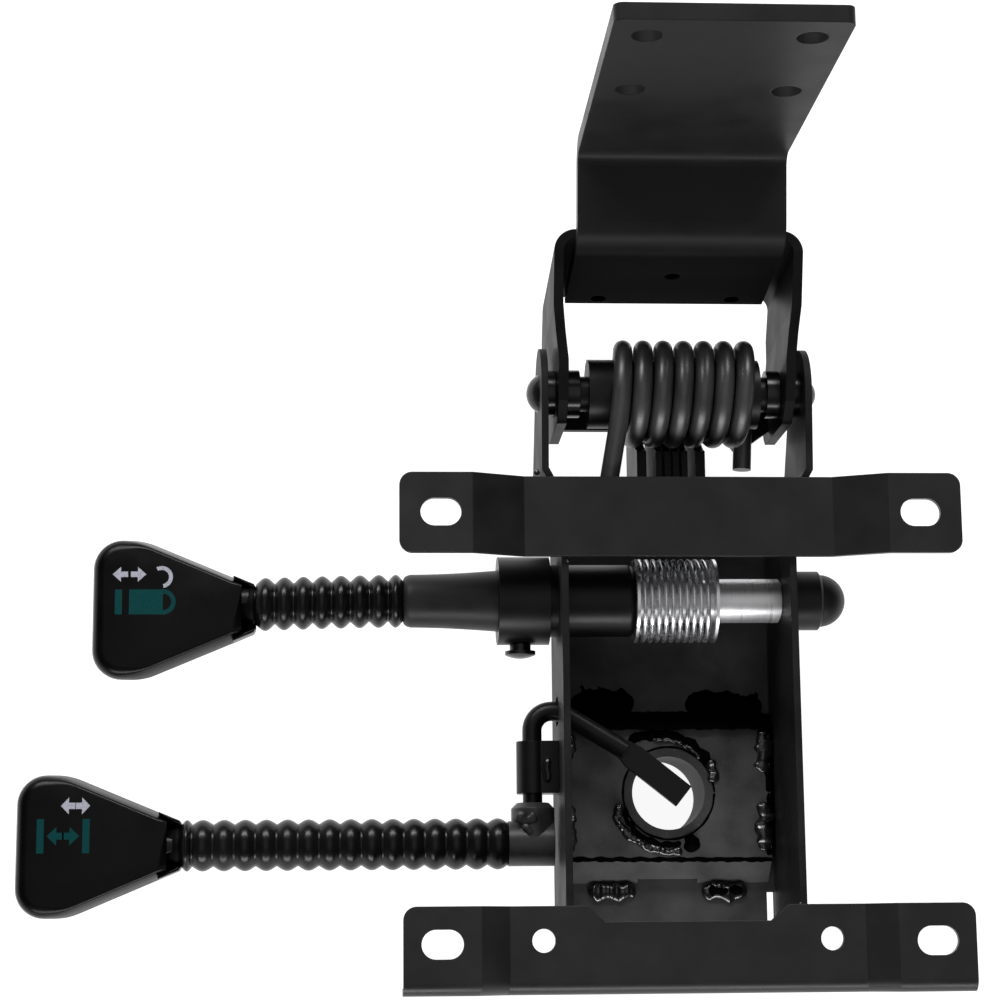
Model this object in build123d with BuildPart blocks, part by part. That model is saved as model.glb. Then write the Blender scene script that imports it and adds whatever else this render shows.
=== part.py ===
from build123d import *
import os
from math import asin, atan, cos, pi, radians, sin, sqrt, tan

# Office chair tilt mechanism, in millimetres.
# Origin: centre of the lower mouth of the gas spring socket.
# +Z is up, +Y points to the backrest, +X to the sitter's left. The levers reach out to -X.

os.makedirs("parts", exist_ok=True)

# Fits and clearances
running_fit = 0.05
soft_clearance = 0.3
seat_gap = 0.2
cut_overrun = 5.0

# Gas spring socket, a tube with a tapered bore for the cone of a 28 mm gas spring
socket_length = 36.0
socket_outer_r = 16.4
socket_mouth_r = 14.1
socket_rim_bore_r = 13.4

# Heights, measured down from the seat mounting plane
socket_rim_drop = 55.0
seat_z = socket_rim_drop + socket_length
bar_joggle_drop = 8.0
sheet = 2.5
wall_top_z = seat_z - bar_joggle_drop - sheet

# Chassis channel
channel_half_width = 42.0
web_drop = 67.0
web_z = seat_z - web_drop
web_top_z = web_z + sheet
channel_front_y = -66.8
web_rear_y = 98.0
bend_inner_r = 3.5
wall_inner_x = channel_half_width - sheet
slit_width = 2.5
slit_wall_gap = 0.1
slit_inner_x = wall_inner_x - slit_wall_gap - slit_width
slit_rear_y = -36.0

# Ears that carry the pivot pin
pivot_y = 142.5
pivot_drop = 22.0
pivot_z = seat_z - pivot_drop
ear_joggle = 6.7
ear_outer_x = channel_half_width + ear_joggle
ear_inner_x = ear_outer_x - sheet
ear_end_r = 16.3
joggle_start_y = 100.0
joggle_end_y = 112.0

# Raised plate round the socket
plate_top_z = seat_z - socket_rim_drop - 0.5 * running_fit
plate_front_y = -24.1
plate_rear_y = 24.3
plate_front_foot_y = -32.5
plate_rear_foot_y = 30.7
plate_side_gap = 1.8
plate_half_width = wall_inner_x - plate_side_gap
plate_notch_half_width = 10.95
plate_notch_depth = 1.5

# Seat mounting bars
bar_half_length = 99.6
front_bar_shortening = 1.2
slot_end_margin = 14.6
seat_slot_pitch_x = 2 * (bar_half_length - slot_end_margin)
seat_slot_length = 14.4
seat_slot_width = 9.9
bar_corner_r = 4.6
rear_bar_front_y = 80.6
rear_bar_rear_y = 109.2
rear_slot_inset = 14.4
rear_slot_y = rear_bar_front_y + rear_slot_inset
rear_joggle_inner_x = 55.2
rear_joggle_outer_x = 73.8
front_bar_rear_y = -41.4
front_bar_notch_y = -46.9
front_bar_notch_inner_x = 29.0
front_bar_notch_outer_x = 35.0
front_bar_face_y = -71.5
front_slot_inset = 17.3
front_slot_y = front_bar_face_y + front_slot_inset
front_flange_height = 13.0
front_bend_inner_r = 2.1
front_joggle_inner_x = 61.7
front_joggle_outer_x = 71.6
front_hole_pitch_x = 100.0
front_hole_inset = 18.3
front_hole_y = front_bar_face_y + front_hole_inset
front_hole_r = 4.05

# Pivot pin and what sits on it
pin_r = 5.0
pin_head_r = 6.9
pin_head_height = 4.4
pin_tail_r = 6.0
pin_tail_height = 4.2
spacer_r = 8.4
collar_r = 8.7
spacer_length = 3.6
collar_length = 4.75
bush_neck_length = 3.0
bush_neck_r = 6.4

# Torsion spring
tilt_wire = 6.8
tilt_coil_r = 16.25
tilt_pitch = 7.37
tilt_start_x = -19.6
tilt_turns = 6.5
tilt_arm_slope = 0.155
tilt_bend_leg = 5.0
tilt_arm_length = 35.0
tilt_stub_slope = -0.05
tilt_stub_length = 24.8

# Back yoke, a strap bent to a U, and its cross plate
yoke_strap = 3.5
yoke_lean = 6.7
yoke_half_pivot = ear_inner_x - spacer_length
yoke_flare = 2.0
yoke_half_rear = yoke_half_pivot + yoke_flare
yoke_pinch = 1.6
yoke_half_front = yoke_half_pivot - yoke_pinch
yoke_taper_y = 171.0
yoke_flat_run = spacer_r * (1 + tan(radians(yoke_lean))) + seat_gap
yoke_front_y = 130.0
yoke_corner_r = 7.8
yoke_rear_y = 195.9
yoke_rear_top_drop = -7.5
yoke_top_break_y = 161.0
yoke_top_break_drop = 1.5
yoke_shoulder_y = 147.0
yoke_shoulder_drop = 2.4
yoke_nose_y = 136.5
yoke_nose_drop = 6.6
yoke_nose_r = 8.0
yoke_bottom_drop = 56.0
yoke_foot_y = 133.5
yoke_web_bottom_drop = 39.5
cross_plate_thick = 3.5
cross_plate_front_y = 133.4
cross_plate_rear_y = 152.0
cross_plate_ledge_y = 125.5
cross_plate_ledge_width = 1.9
cross_plate_ledge_inset = 11.0
cross_plate_chamfer = 6.0

# Back bar
back_bar_side_gap = 4.05
back_bar_half_width = yoke_half_rear - yoke_strap - back_bar_side_gap
back_bar_thick = 5.6
back_bar_bottom_drop = 39.3
back_bar_shelf_drop = -14.0
back_bar_shelf_rise = 10.0
back_bar_upright_y = 222.0
back_bar_height = 146.0
back_bar_bend_r = 8.0
back_bar_corner_r = 3.0
back_hole_side_gap = 11.45
back_hole_pitch_x = 2 * (back_bar_half_width - back_hole_side_gap)
back_hole_pitch_z = 47.0
back_hole_top_gap = 13.0
back_hole_r = 5.0
rivet_r = 2.8
rivet_head_r = 3.6
rivet_head_height = 1.4
rivet_taper = 45.0
rivet_side_gap = 12.05
rivet_spread_x = back_bar_half_width - rivet_side_gap
rivet_low_drop = 34.6
rivet_high_drop = 13.0

# Lock plates under the coil
lock_plate_rear_y = 140.0
lock_plate_front_y = 92.0
lock_plate_bottom_drop = 61.0
lock_plate_top_drop = 27.0
lock_plate_coil_gap = 1.0
outer_plate_thick = 3.5
inner_plate_thick = 2.3
outer_plate_left_x = -10.8
outer_plate_right_x = 10.7
inner_plate_pitch = 3.1
inner_plate_first_x = -4.4
inner_plate_count = 4

# Lock shaft and what is on its axis
lock_y = 68.3
lock_drop = 35.0
lock_z = seat_z - lock_drop
sleeve_r = 13.1
sleeve_stand_out = 3.0
sleeve_left_x = -channel_half_width - sleeve_stand_out
sleeve_right_x = -14.0
sleeve_round_r = 2.5
lock_collar_r = 15.95
lock_collar_length = 18.6
lock_collar_left_x = sleeve_left_x - lock_collar_length
lock_collar_recess_depth = 5.6
shaft_r = 8.0
shaft_inset = 3.6
shaft_left_x = lock_collar_left_x + shaft_inset
shaft_travel = 2.5
shaft_shoulder_gap = 0.5
shaft_shoulder_x = wall_inner_x - shaft_shoulder_gap
shaft_neck_r = 7.0
shaft_neck_reach = 10.0
shaft_neck_end_x = channel_half_width + shaft_neck_reach
lock_spring_wire = 1.7
lock_spring_r = 14.4
lock_spring_turns = 10
washer_thick = 1.1
washer_r = 15.2
lock_spring_right_x = 14.3
cam_pin_inset = 8.2
cam_pin_x = lock_collar_left_x + cam_pin_inset
cam_pin_r = 3.0
cam_pin_neck_r = 3.8
cam_pin_head_r = 5.5
cam_pin_reach = 21.0
cam_pin_head_height = 2.6
cam_pin_depth = 6.1
cap_r = 10.75
cap_dome_r = 9.5
cap_barrel_length = 12.4
cap_step_x = channel_half_width + cap_barrel_length
cap_length = 21.6
cap_end_x = channel_half_width + cap_length
cap_edge_r = 1.0

# Lock lever
lever_rod_r = 5.0
rod_socket_depth = 14.0
boot_tuck = 1.1
boot_length = 35.2
boot_right_x = lock_collar_left_x + boot_tuck
boot_left_x = boot_right_x - boot_length
boot_left_r = 9.6
boot_right_r = 11.2
lock_grip_length = 53.0
lock_grip_left_x = boot_left_x - lock_grip_length
lock_grip_ribs = 8
lock_rib_r = 9.6
lock_valley_r = 7.3

# Paddles, one moulding on both levers
paddle_length = 58.3
paddle_neck_half = 8.5
paddle_shoulder = 40.0
paddle_half_width = 25.2
paddle_tip_r = 10.5
paddle_flank_r = 22.0
paddle_thick = 11.0
paddle_edge_r = 3.0
paddle_socket_depth = 22.0
lock_paddle_offset_y = -3.0

# Lift lever
lift_hinge_stand_off = 9.2
lift_hinge_x = -channel_half_width - lift_hinge_stand_off
lift_drop = 39.0
lift_z = seat_z - lift_drop
lift_rod_r = 3.5
lift_arm_y = -18.8
lift_elbow_y = 28.6
lift_bend_inset = 1.0
lift_inside_x = lift_bend_inset - channel_half_width
lift_blade_start_x = -17.4
lift_blade_start_y = 14.3
lift_elbow_r = 7.0
lift_wall_bend_r = 9.0
lift_blade_end_x = 3.4
lift_blade_end_y = -2.3
lift_blade_half_width = 4.45
lift_blade_thick = 3.2
blade_neck_share = 0.8
lift_sleeve_r = 5.75
lift_sleeve_front_y = -1.1
lift_sleeve_rear_y = 17.6
gusset_height_share = 0.9
knuckle_outer_reach = 9.0
knuckle_inner_reach = 7.4
knuckle_left_x = lift_hinge_x - knuckle_outer_reach
knuckle_right_x = lift_hinge_x + knuckle_inner_reach
knuckle_r = 8.0
knuckle_top_y = -4.4
knuckle_neck_r = 7.8
knuckle_chamfer = 2.0
lift_grip_length = 116.1
lift_grip_left_x = knuckle_left_x - lift_grip_length
lift_grip_ribs = 15
lift_rib_r = 9.1
lift_valley_r = 7.4
lift_slot_half_height = 6.0
lift_slot_half_width = 5.2


def save(piece, label):
    """Label a finished piece and write it as its own file."""
    piece.part.label = label
    export_step(piece.part, f"parts/{label}.step")


def along_x(y, z):
    """Plane whose first axis is +X and whose second axis is +Z, through a line along X."""
    return Plane(origin=(0, y, z), x_dir=(1, 0, 0), z_dir=(0, -1, 0))


def across_x(x, y, z):
    """Plane square to X, with Y and Z as its axes."""
    return Plane(origin=(x, y, z), x_dir=(0, 1, 0), z_dir=(1, 0, 0))


def ring(x_start, x_end, outer_r, inner_r, y, z):
    """Plain ring or disc along X."""
    with BuildPart() as piece:
        with BuildSketch(across_x(x_start, y, z)):
            Circle(outer_r)
            if inner_r > 0:
                Circle(inner_r, mode=Mode.SUBTRACT)
        extrude(amount=x_end - x_start)
    return piece


def dome_middle(base_r, height):
    """Middle of the arc of a round dome, as its height over the base and its distance from the axis."""
    sphere_r = (base_r ** 2 + height ** 2) / (2 * height)
    half_angle = asin(base_r / sphere_r) / 2
    return height - sphere_r * (1 - cos(half_angle)), sphere_r * sin(half_angle)


def biarc_joint(start, start_dir, end, end_dir):
    """Point and direction where the two arcs of a biarc meet."""
    chord = end - start
    spread = 2 * (1 - start_dir.dot(end_dir))
    reach = chord.dot(start_dir + end_dir)
    leg = (sqrt(reach * reach + spread * chord.dot(chord)) - reach) / spread
    first = start + start_dir * leg
    second = end - end_dir * leg
    return (first + second) * 0.5, (second - first).normalized()


def biarc_run(stations):
    """Draw biarcs through a list of points with directions."""
    for (start, start_dir), (end, end_dir) in zip(stations, stations[1:]):
        joint, joint_dir = biarc_joint(start, start_dir, end, end_dir)
        TangentArc(start, joint, tangent=start_dir)
        TangentArc(joint, end, tangent=joint_dir)


def least_gap(path, wire, skip):
    """Least free distance between two stretches of one wire, measured on points along it."""
    count = int(path.length / (wire / 2)) + 1
    places = [path @ (k / count) for k in range(count + 1)]
    step = path.length / count
    apart = int(skip / step)
    nearest = min(
        (places[i] - places[j]).length
        for i in range(len(places))
        for j in range(i + apart, len(places))
    )
    return nearest - wire


def ribbed_tube(x_left, x_right, ribs, rib_r, valley_r, bore_r, y, z):
    """Ribbed sleeve: four circles for each rib, joined by a ruled loft, with a bore."""
    pitch = (x_right - x_left) / ribs
    valley_share = 0.12
    crest_share = 0.42
    rise_shares = ((valley_share, valley_r), (crest_share, rib_r),
                   (1 - crest_share, rib_r), (1 - valley_share, valley_r))
    with BuildPart() as piece:
        with BuildSketch(across_x(x_left, y, z)):
            Circle(valley_r)
        for rib in range(ribs):
            for share, station_r in rise_shares:
                with BuildSketch(across_x(x_left + (rib + share) * pitch, y, z)):
                    Circle(station_r)
        with BuildSketch(across_x(x_right, y, z)):
            Circle(valley_r)
        loft(ruled=True)
        with BuildSketch(across_x(x_left, y, z)):
            Circle(bore_r)
        extrude(amount=x_right - x_left, mode=Mode.SUBTRACT)
    return piece


def paddle(neck_x, y, z, rod_y):
    """Flat moulded paddle, wide at its tip, with a blind socket for the lever rod in its neck."""
    outline = ((0, paddle_neck_half), (-paddle_shoulder, paddle_half_width),
               (-paddle_length, paddle_half_width), (-paddle_length, -paddle_half_width),
               (-paddle_shoulder, -paddle_half_width), (0, -paddle_neck_half))
    corner_radii = (0, paddle_flank_r, paddle_tip_r, paddle_tip_r, paddle_flank_r, 0)
    with BuildPart() as piece:
        with BuildSketch(Plane((neck_x, y, z - paddle_thick / 2))):
            with BuildLine():
                FilletPolyline(*outline, radius=corner_radii[1:-1])
                Line((0, -paddle_neck_half), (0, paddle_neck_half))
            make_face()
        extrude(amount=paddle_thick)
        rims = piece.faces().group_by(Axis.Z)
        fillet(rims[0].edges() + rims[-1].edges(), paddle_edge_r)
        with BuildSketch(across_x(neck_x - paddle_socket_depth, rod_y, z)):
            Circle(lever_rod_r + running_fit)
        extrude(amount=paddle_socket_depth + cut_overrun, mode=Mode.SUBTRACT)
    return piece


# Gas spring socket
with BuildPart() as gas_spring_socket:
    with BuildSketch(Plane.XZ):
        with BuildLine():
            Polyline((socket_mouth_r, 0), (socket_outer_r, 0), (socket_outer_r, socket_length),
                     (socket_rim_bore_r, socket_length), close=True)
        make_face()
    revolve(axis=Axis.Z)
save(gas_spring_socket, "gas_spring_socket")

# Chassis channel: the ears first, then the channel itself, then its holes
ear_lead = sheet * tan(0.5 * atan((ear_outer_x - channel_half_width) / (joggle_end_y - joggle_start_y)))
ear_tip_y = pivot_y + ear_end_r
with BuildPart() as chassis_channel:
    with BuildSketch(Plane.XY.offset(web_z)):
        with BuildLine():
            Polyline((channel_half_width, web_rear_y - sheet), (channel_half_width, joggle_start_y),
                     (ear_outer_x, joggle_end_y), (ear_outer_x, ear_tip_y),
                     (ear_inner_x, ear_tip_y), (ear_inner_x, joggle_end_y + ear_lead),
                     (wall_inner_x, joggle_start_y + ear_lead), (wall_inner_x, web_rear_y - sheet),
                     close=True)
        make_face()
        mirror(about=Plane.YZ)
    extrude(amount=seat_z - web_z)
    with BuildSketch(Plane.YZ):
        with Locations((pivot_y, pivot_z)):
            Circle(ear_end_r)
        with BuildLine():
            Polyline((web_rear_y - sheet, web_z + bend_inner_r), (web_rear_y, web_z + bend_inner_r),
                     (web_rear_y, wall_top_z), (web_rear_y - sheet, wall_top_z), close=True)
        make_hull()
        with Locations((rear_bar_rear_y + soft_clearance, wall_top_z)):
            Rectangle(rear_bar_rear_y, ear_end_r, align=(Align.MAX, Align.MIN), mode=Mode.SUBTRACT)
    extrude(amount=ear_outer_x, both=True, mode=Mode.INTERSECT)
    with BuildSketch(Plane.XZ.offset(-web_rear_y)):
        with BuildLine():
            Polyline((-channel_half_width, web_z), (channel_half_width, web_z),
                     (channel_half_width, wall_top_z), (wall_inner_x, wall_top_z),
                     (wall_inner_x, web_top_z), (-wall_inner_x, web_top_z),
                     (-wall_inner_x, wall_top_z), (-channel_half_width, wall_top_z), close=True)
        channel_face = make_face()
        outer_bends = channel_face.vertices().filter_by_position(Axis.Y, web_z, web_z)
        inner_bends = channel_face.vertices().filter_by_position(Axis.Y, web_top_z, web_top_z)
        fillet(outer_bends, bend_inner_r + sheet)
        fillet(inner_bends, bend_inner_r)
    extrude(amount=web_rear_y - channel_front_y)
    with BuildSketch(Plane.XY.offset(web_z)):
        Circle(socket_outer_r)
        for side in (-1, 1):
            with Locations((side * (slit_inner_x + slit_width / 2), (slit_rear_y + channel_front_y) / 2)):
                Rectangle(slit_width, slit_rear_y - channel_front_y)
    extrude(amount=sheet + bend_inner_r, mode=Mode.SUBTRACT)
    with BuildSketch(across_x(-ear_outer_x, pivot_y, pivot_z)):
        Circle(pin_r + running_fit)
    extrude(amount=2 * ear_outer_x, mode=Mode.SUBTRACT)
    with BuildSketch(across_x(-channel_half_width, lock_y, lock_z)):
        Circle(sleeve_r)
    extrude(amount=sheet, mode=Mode.SUBTRACT)
    with BuildSketch(across_x(wall_inner_x, lock_y, lock_z)):
        Circle(shaft_neck_r + running_fit)
    extrude(amount=sheet, mode=Mode.SUBTRACT)
    with BuildSketch(across_x(-channel_half_width, lift_elbow_y, lift_z)):
        RectangleRounded(2 * lift_slot_half_width, 2 * lift_slot_half_height, lift_rod_r)
    extrude(amount=sheet, mode=Mode.SUBTRACT)
save(chassis_channel, "chassis_channel")

# Raised plate round the socket, cut at its feet to the bends of the channel
with BuildPart() as gas_spring_plate:
    with BuildSketch(Plane.YZ):
        with BuildLine():
            Polyline((plate_front_foot_y, web_top_z), (plate_front_y, plate_top_z),
                     (plate_rear_y, plate_top_z), (plate_rear_foot_y, web_top_z),
                     (plate_rear_foot_y - sheet, web_top_z),
                     (plate_rear_y - sheet, plate_top_z - sheet),
                     (plate_front_y + sheet, plate_top_z - sheet),
                     (plate_front_foot_y + sheet, web_top_z), close=True)
        make_face()
    extrude(amount=plate_half_width, both=True)
    with BuildSketch(Plane.XZ.offset(-plate_rear_foot_y)):
        with BuildLine():
            Polyline((-wall_inner_x, web_top_z), (wall_inner_x, web_top_z),
                     (wall_inner_x, wall_top_z), (-wall_inner_x, wall_top_z), close=True)
        inside_face = make_face()
        inside_bends = inside_face.vertices().filter_by_position(Axis.Y, web_top_z, web_top_z)
        fillet(inside_bends, bend_inner_r)
    extrude(amount=plate_rear_foot_y - plate_front_foot_y, mode=Mode.INTERSECT)
    with BuildSketch(Plane.XY.offset(web_z)):
        Circle(socket_outer_r)
        with Locations((0, plate_front_foot_y)):
            Rectangle(2 * plate_notch_half_width, 2 * plate_notch_depth)
    extrude(amount=seat_z - web_z, mode=Mode.SUBTRACT)
save(gas_spring_plate, "gas_spring_plate")


def joggled_strip(half_length, joggle_inner_x, joggle_outer_x):
    """Outline of a seat bar seen from the front: high at its ends, low in the middle."""
    low_top = seat_z - bar_joggle_drop
    Polyline((-half_length, seat_z), (-joggle_outer_x, seat_z), (-joggle_inner_x, low_top),
             (joggle_inner_x, low_top), (joggle_outer_x, seat_z), (half_length, seat_z),
             (half_length, seat_z - sheet), (joggle_outer_x, seat_z - sheet),
             (joggle_inner_x, low_top - sheet), (-joggle_inner_x, low_top - sheet),
             (-joggle_outer_x, seat_z - sheet), (-half_length, seat_z - sheet), close=True)


# Rear seat bar
with BuildPart() as rear_mount_bar:
    with BuildSketch(Plane.XZ.offset(-rear_bar_rear_y)):
        with BuildLine():
            joggled_strip(bar_half_length, rear_joggle_inner_x, rear_joggle_outer_x)
        make_face()
    extrude(amount=rear_bar_rear_y - rear_bar_front_y)
    fillet(rear_mount_bar.edges().filter_by(Axis.Z).filter_by(
        lambda edge: abs(edge.center().X) > rear_joggle_outer_x), bar_corner_r)
    with BuildSketch(Plane.XY.offset(seat_z)):
        with Locations((-seat_slot_pitch_x / 2, rear_slot_y), (seat_slot_pitch_x / 2, rear_slot_y)):
            SlotOverall(seat_slot_length, seat_slot_width)
    extrude(amount=-sheet, mode=Mode.SUBTRACT)
save(rear_mount_bar, "rear_mount_bar")

# Front seat bar, with its flange bent down at the front
front_half_length = bar_half_length - front_bar_shortening
with BuildPart() as front_mount_bar:
    with BuildSketch(Plane.XZ.offset(-front_bar_rear_y)):
        with BuildLine():
            joggled_strip(front_half_length, front_joggle_inner_x, front_joggle_outer_x)
        make_face()
    extrude(amount=front_bar_rear_y - front_bar_face_y)
    with BuildSketch(Plane.XZ.offset(-front_bar_face_y - sheet)):
        low_top = seat_z - bar_joggle_drop
        with BuildLine():
            Polyline((-front_half_length, seat_z), (-front_joggle_outer_x, seat_z),
                     (-front_joggle_inner_x, low_top), (front_joggle_inner_x, low_top),
                     (front_joggle_outer_x, seat_z), (front_half_length, seat_z),
                     (front_half_length, low_top - front_flange_height),
                     (-front_half_length, low_top - front_flange_height), close=True)
        make_face()
    extrude(amount=sheet)
    inner_bend_edges = front_mount_bar.edges().filter_by(
        lambda edge: abs(edge.center().Y - front_bar_face_y - sheet) < running_fit
        and edge.center().Z > low_top - 2 * sheet and edge.bounding_box().size.X > sheet)
    fillet(inner_bend_edges, front_bend_inner_r)
    outer_bend_edges = front_mount_bar.edges().filter_by(
        lambda edge: abs(edge.center().Y - front_bar_face_y) < running_fit
        and edge.center().Z > low_top - running_fit and edge.bounding_box().size.X > sheet)
    fillet(outer_bend_edges, front_bend_inner_r + sheet)
    fillet(front_mount_bar.edges().filter_by(Axis.Z).filter_by(
        lambda edge: edge.center().Y > front_bar_notch_y), bar_corner_r)
    with BuildSketch(Plane.XY.offset(seat_z)):
        with BuildLine():
            Polyline((-front_bar_notch_outer_x, front_bar_rear_y),
                     (-front_bar_notch_inner_x, front_bar_notch_y),
                     (front_bar_notch_inner_x, front_bar_notch_y),
                     (front_bar_notch_outer_x, front_bar_rear_y), close=True)
        make_face()
        with Locations((-seat_slot_pitch_x / 2, front_slot_y), (seat_slot_pitch_x / 2, front_slot_y)):
            SlotOverall(seat_slot_length, seat_slot_width)
        with Locations((-front_hole_pitch_x / 2, front_hole_y), (front_hole_pitch_x / 2, front_hole_y)):
            Circle(front_hole_r)
    extrude(amount=-bar_joggle_drop - sheet, mode=Mode.SUBTRACT)
save(front_mount_bar, "front_mount_bar")

# Pivot pin, head at the left, riveted tail at the right
pin_head_x = -ear_outer_x - pin_head_height
pin_tail_x = ear_outer_x + pin_tail_height
head_rise, head_middle_r = dome_middle(pin_head_r, pin_head_height)
tail_rise, tail_middle_r = dome_middle(pin_tail_r, pin_tail_height)
with BuildPart() as pivot_pin:
    with BuildSketch(along_x(pivot_y, pivot_z)):
        with BuildLine():
            Line((pin_head_x, 0), (pin_tail_x, 0))
            ThreePointArc((pin_tail_x, 0), (ear_outer_x + tail_rise, tail_middle_r),
                          (ear_outer_x, pin_tail_r))
            Polyline((ear_outer_x, pin_tail_r), (ear_outer_x, pin_r),
                     (-ear_outer_x, pin_r), (-ear_outer_x, pin_head_r))
            ThreePointArc((-ear_outer_x, pin_head_r), (-ear_outer_x - head_rise, head_middle_r),
                          (pin_head_x, 0))
        make_face()
    revolve(axis=Axis((0, pivot_y, pivot_z), (1, 0, 0)))
save(pivot_pin, "pivot_pin")

# Inner half width of the yoke at the pivot
yoke_inner_x = yoke_half_pivot - yoke_strap

# Spacers between the ears and the yoke, and collars inside the yoke
spacer_inner_x = yoke_half_pivot + soft_clearance
pin_hole_r = pin_r + running_fit
save(ring(-ear_inner_x, -spacer_inner_x, spacer_r, pin_hole_r, pivot_y, pivot_z), "pivot_spacer_left")
save(ring(spacer_inner_x, ear_inner_x, spacer_r, pin_hole_r, pivot_y, pivot_z), "pivot_spacer_right")
collar_outer_x = yoke_inner_x - soft_clearance - running_fit
collar_inner_x = collar_outer_x - collar_length
bush_end_x = collar_inner_x - bush_neck_length
save(ring(-collar_outer_x, -collar_inner_x, collar_r, pin_hole_r, pivot_y, pivot_z), "pivot_collar_left")
save(ring(collar_inner_x, collar_outer_x, collar_r, pin_hole_r, pivot_y, pivot_z), "pivot_collar_right")


def spring_bush(side):
    """Plastic bush that fills half of the coil and reaches out to its collar."""
    bush_r = tilt_coil_r - tilt_wire / 2 - soft_clearance
    with BuildPart() as piece:
        with BuildSketch(across_x(0, pivot_y, pivot_z)):
            Circle(bush_r)
        extrude(amount=side * bush_end_x)
        with BuildSketch(across_x(side * bush_end_x, pivot_y, pivot_z)):
            Circle(bush_neck_r)
        extrude(amount=side * (collar_inner_x - bush_end_x))
        with BuildSketch(across_x(0, pivot_y, pivot_z)):
            Circle(pin_hole_r)
        extrude(amount=side * collar_inner_x, mode=Mode.SUBTRACT)
    return piece


save(spring_bush(-1), "spring_bush_left")
save(spring_bush(1), "spring_bush_right")


def tilt_station(turn):
    """Point and direction of the torsion spring's coil, counted in turns from its top, to the rear."""
    angle = 2 * pi * turn
    place = Vector(tilt_start_x + tilt_pitch * turn,
                   pivot_y + tilt_coil_r * sin(angle), pivot_z + tilt_coil_r * cos(angle))
    heading = Vector(tilt_pitch / (2 * pi), tilt_coil_r * cos(angle), -tilt_coil_r * sin(angle))
    return place, heading.normalized()


# Torsion spring: the long arm bears under the rear bar, the stub bears on the cross plate
arm_drop = wall_top_z - seat_gap - tilt_wire / 2 - pivot_z
arm_reach = pivot_y - rear_bar_rear_y
arm_lift = asin(tilt_coil_r / sqrt(arm_reach ** 2 + arm_drop ** 2)) - atan(arm_drop / arm_reach)
tilt_first_turn = -arm_lift / (2 * pi)
quarter_turn = 0.25
tilt_turn_list = [tilt_first_turn]
tilt_turn_list += [quarter_turn * k for k in range(1, int(tilt_turns / quarter_turn) + 1)]
with BuildPart() as tilt_spring:
    with BuildLine() as tilt_path:
        stations = [tilt_station(turn) for turn in tilt_turn_list]
        first_place, first_dir = stations[0]
        last_place, last_dir = stations[-1]
        arm_dir = Vector(tilt_arm_slope, cos(arm_lift), sin(arm_lift)).normalized()
        arm_corner = first_place - first_dir * tilt_bend_leg
        arm_bend = arm_corner - arm_dir * tilt_bend_leg
        stub_dir = Vector(tilt_stub_slope, -1, 0).normalized()
        stub_bend = last_place + last_dir * tilt_bend_leg + stub_dir * tilt_bend_leg
        Line(arm_bend - arm_dir * tilt_arm_length, arm_bend)
        TangentArc(arm_bend, first_place, tangent=arm_dir)
        biarc_run(stations)
        TangentArc(last_place, stub_bend, tangent=last_dir)
        Line(stub_bend, stub_bend + stub_dir * (tilt_stub_length - 2 * tilt_bend_leg))
    tilt_wire_path = tilt_path.wires()[0]
    with BuildSketch(Plane(origin=tilt_wire_path @ 0, z_dir=tilt_wire_path % 0)):
        Circle(tilt_wire / 2)
    sweep(path=tilt_wire_path)
save(tilt_spring, "tilt_spring")
print("torsion spring, least gap to itself",
      round(least_gap(tilt_wire_path, tilt_wire, pi * tilt_coil_r), 3))
print("torsion spring, volume share of section times length",
      round(tilt_spring.part.volume / (pi * (tilt_wire / 2) ** 2 * tilt_wire_path.length), 4))

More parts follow.
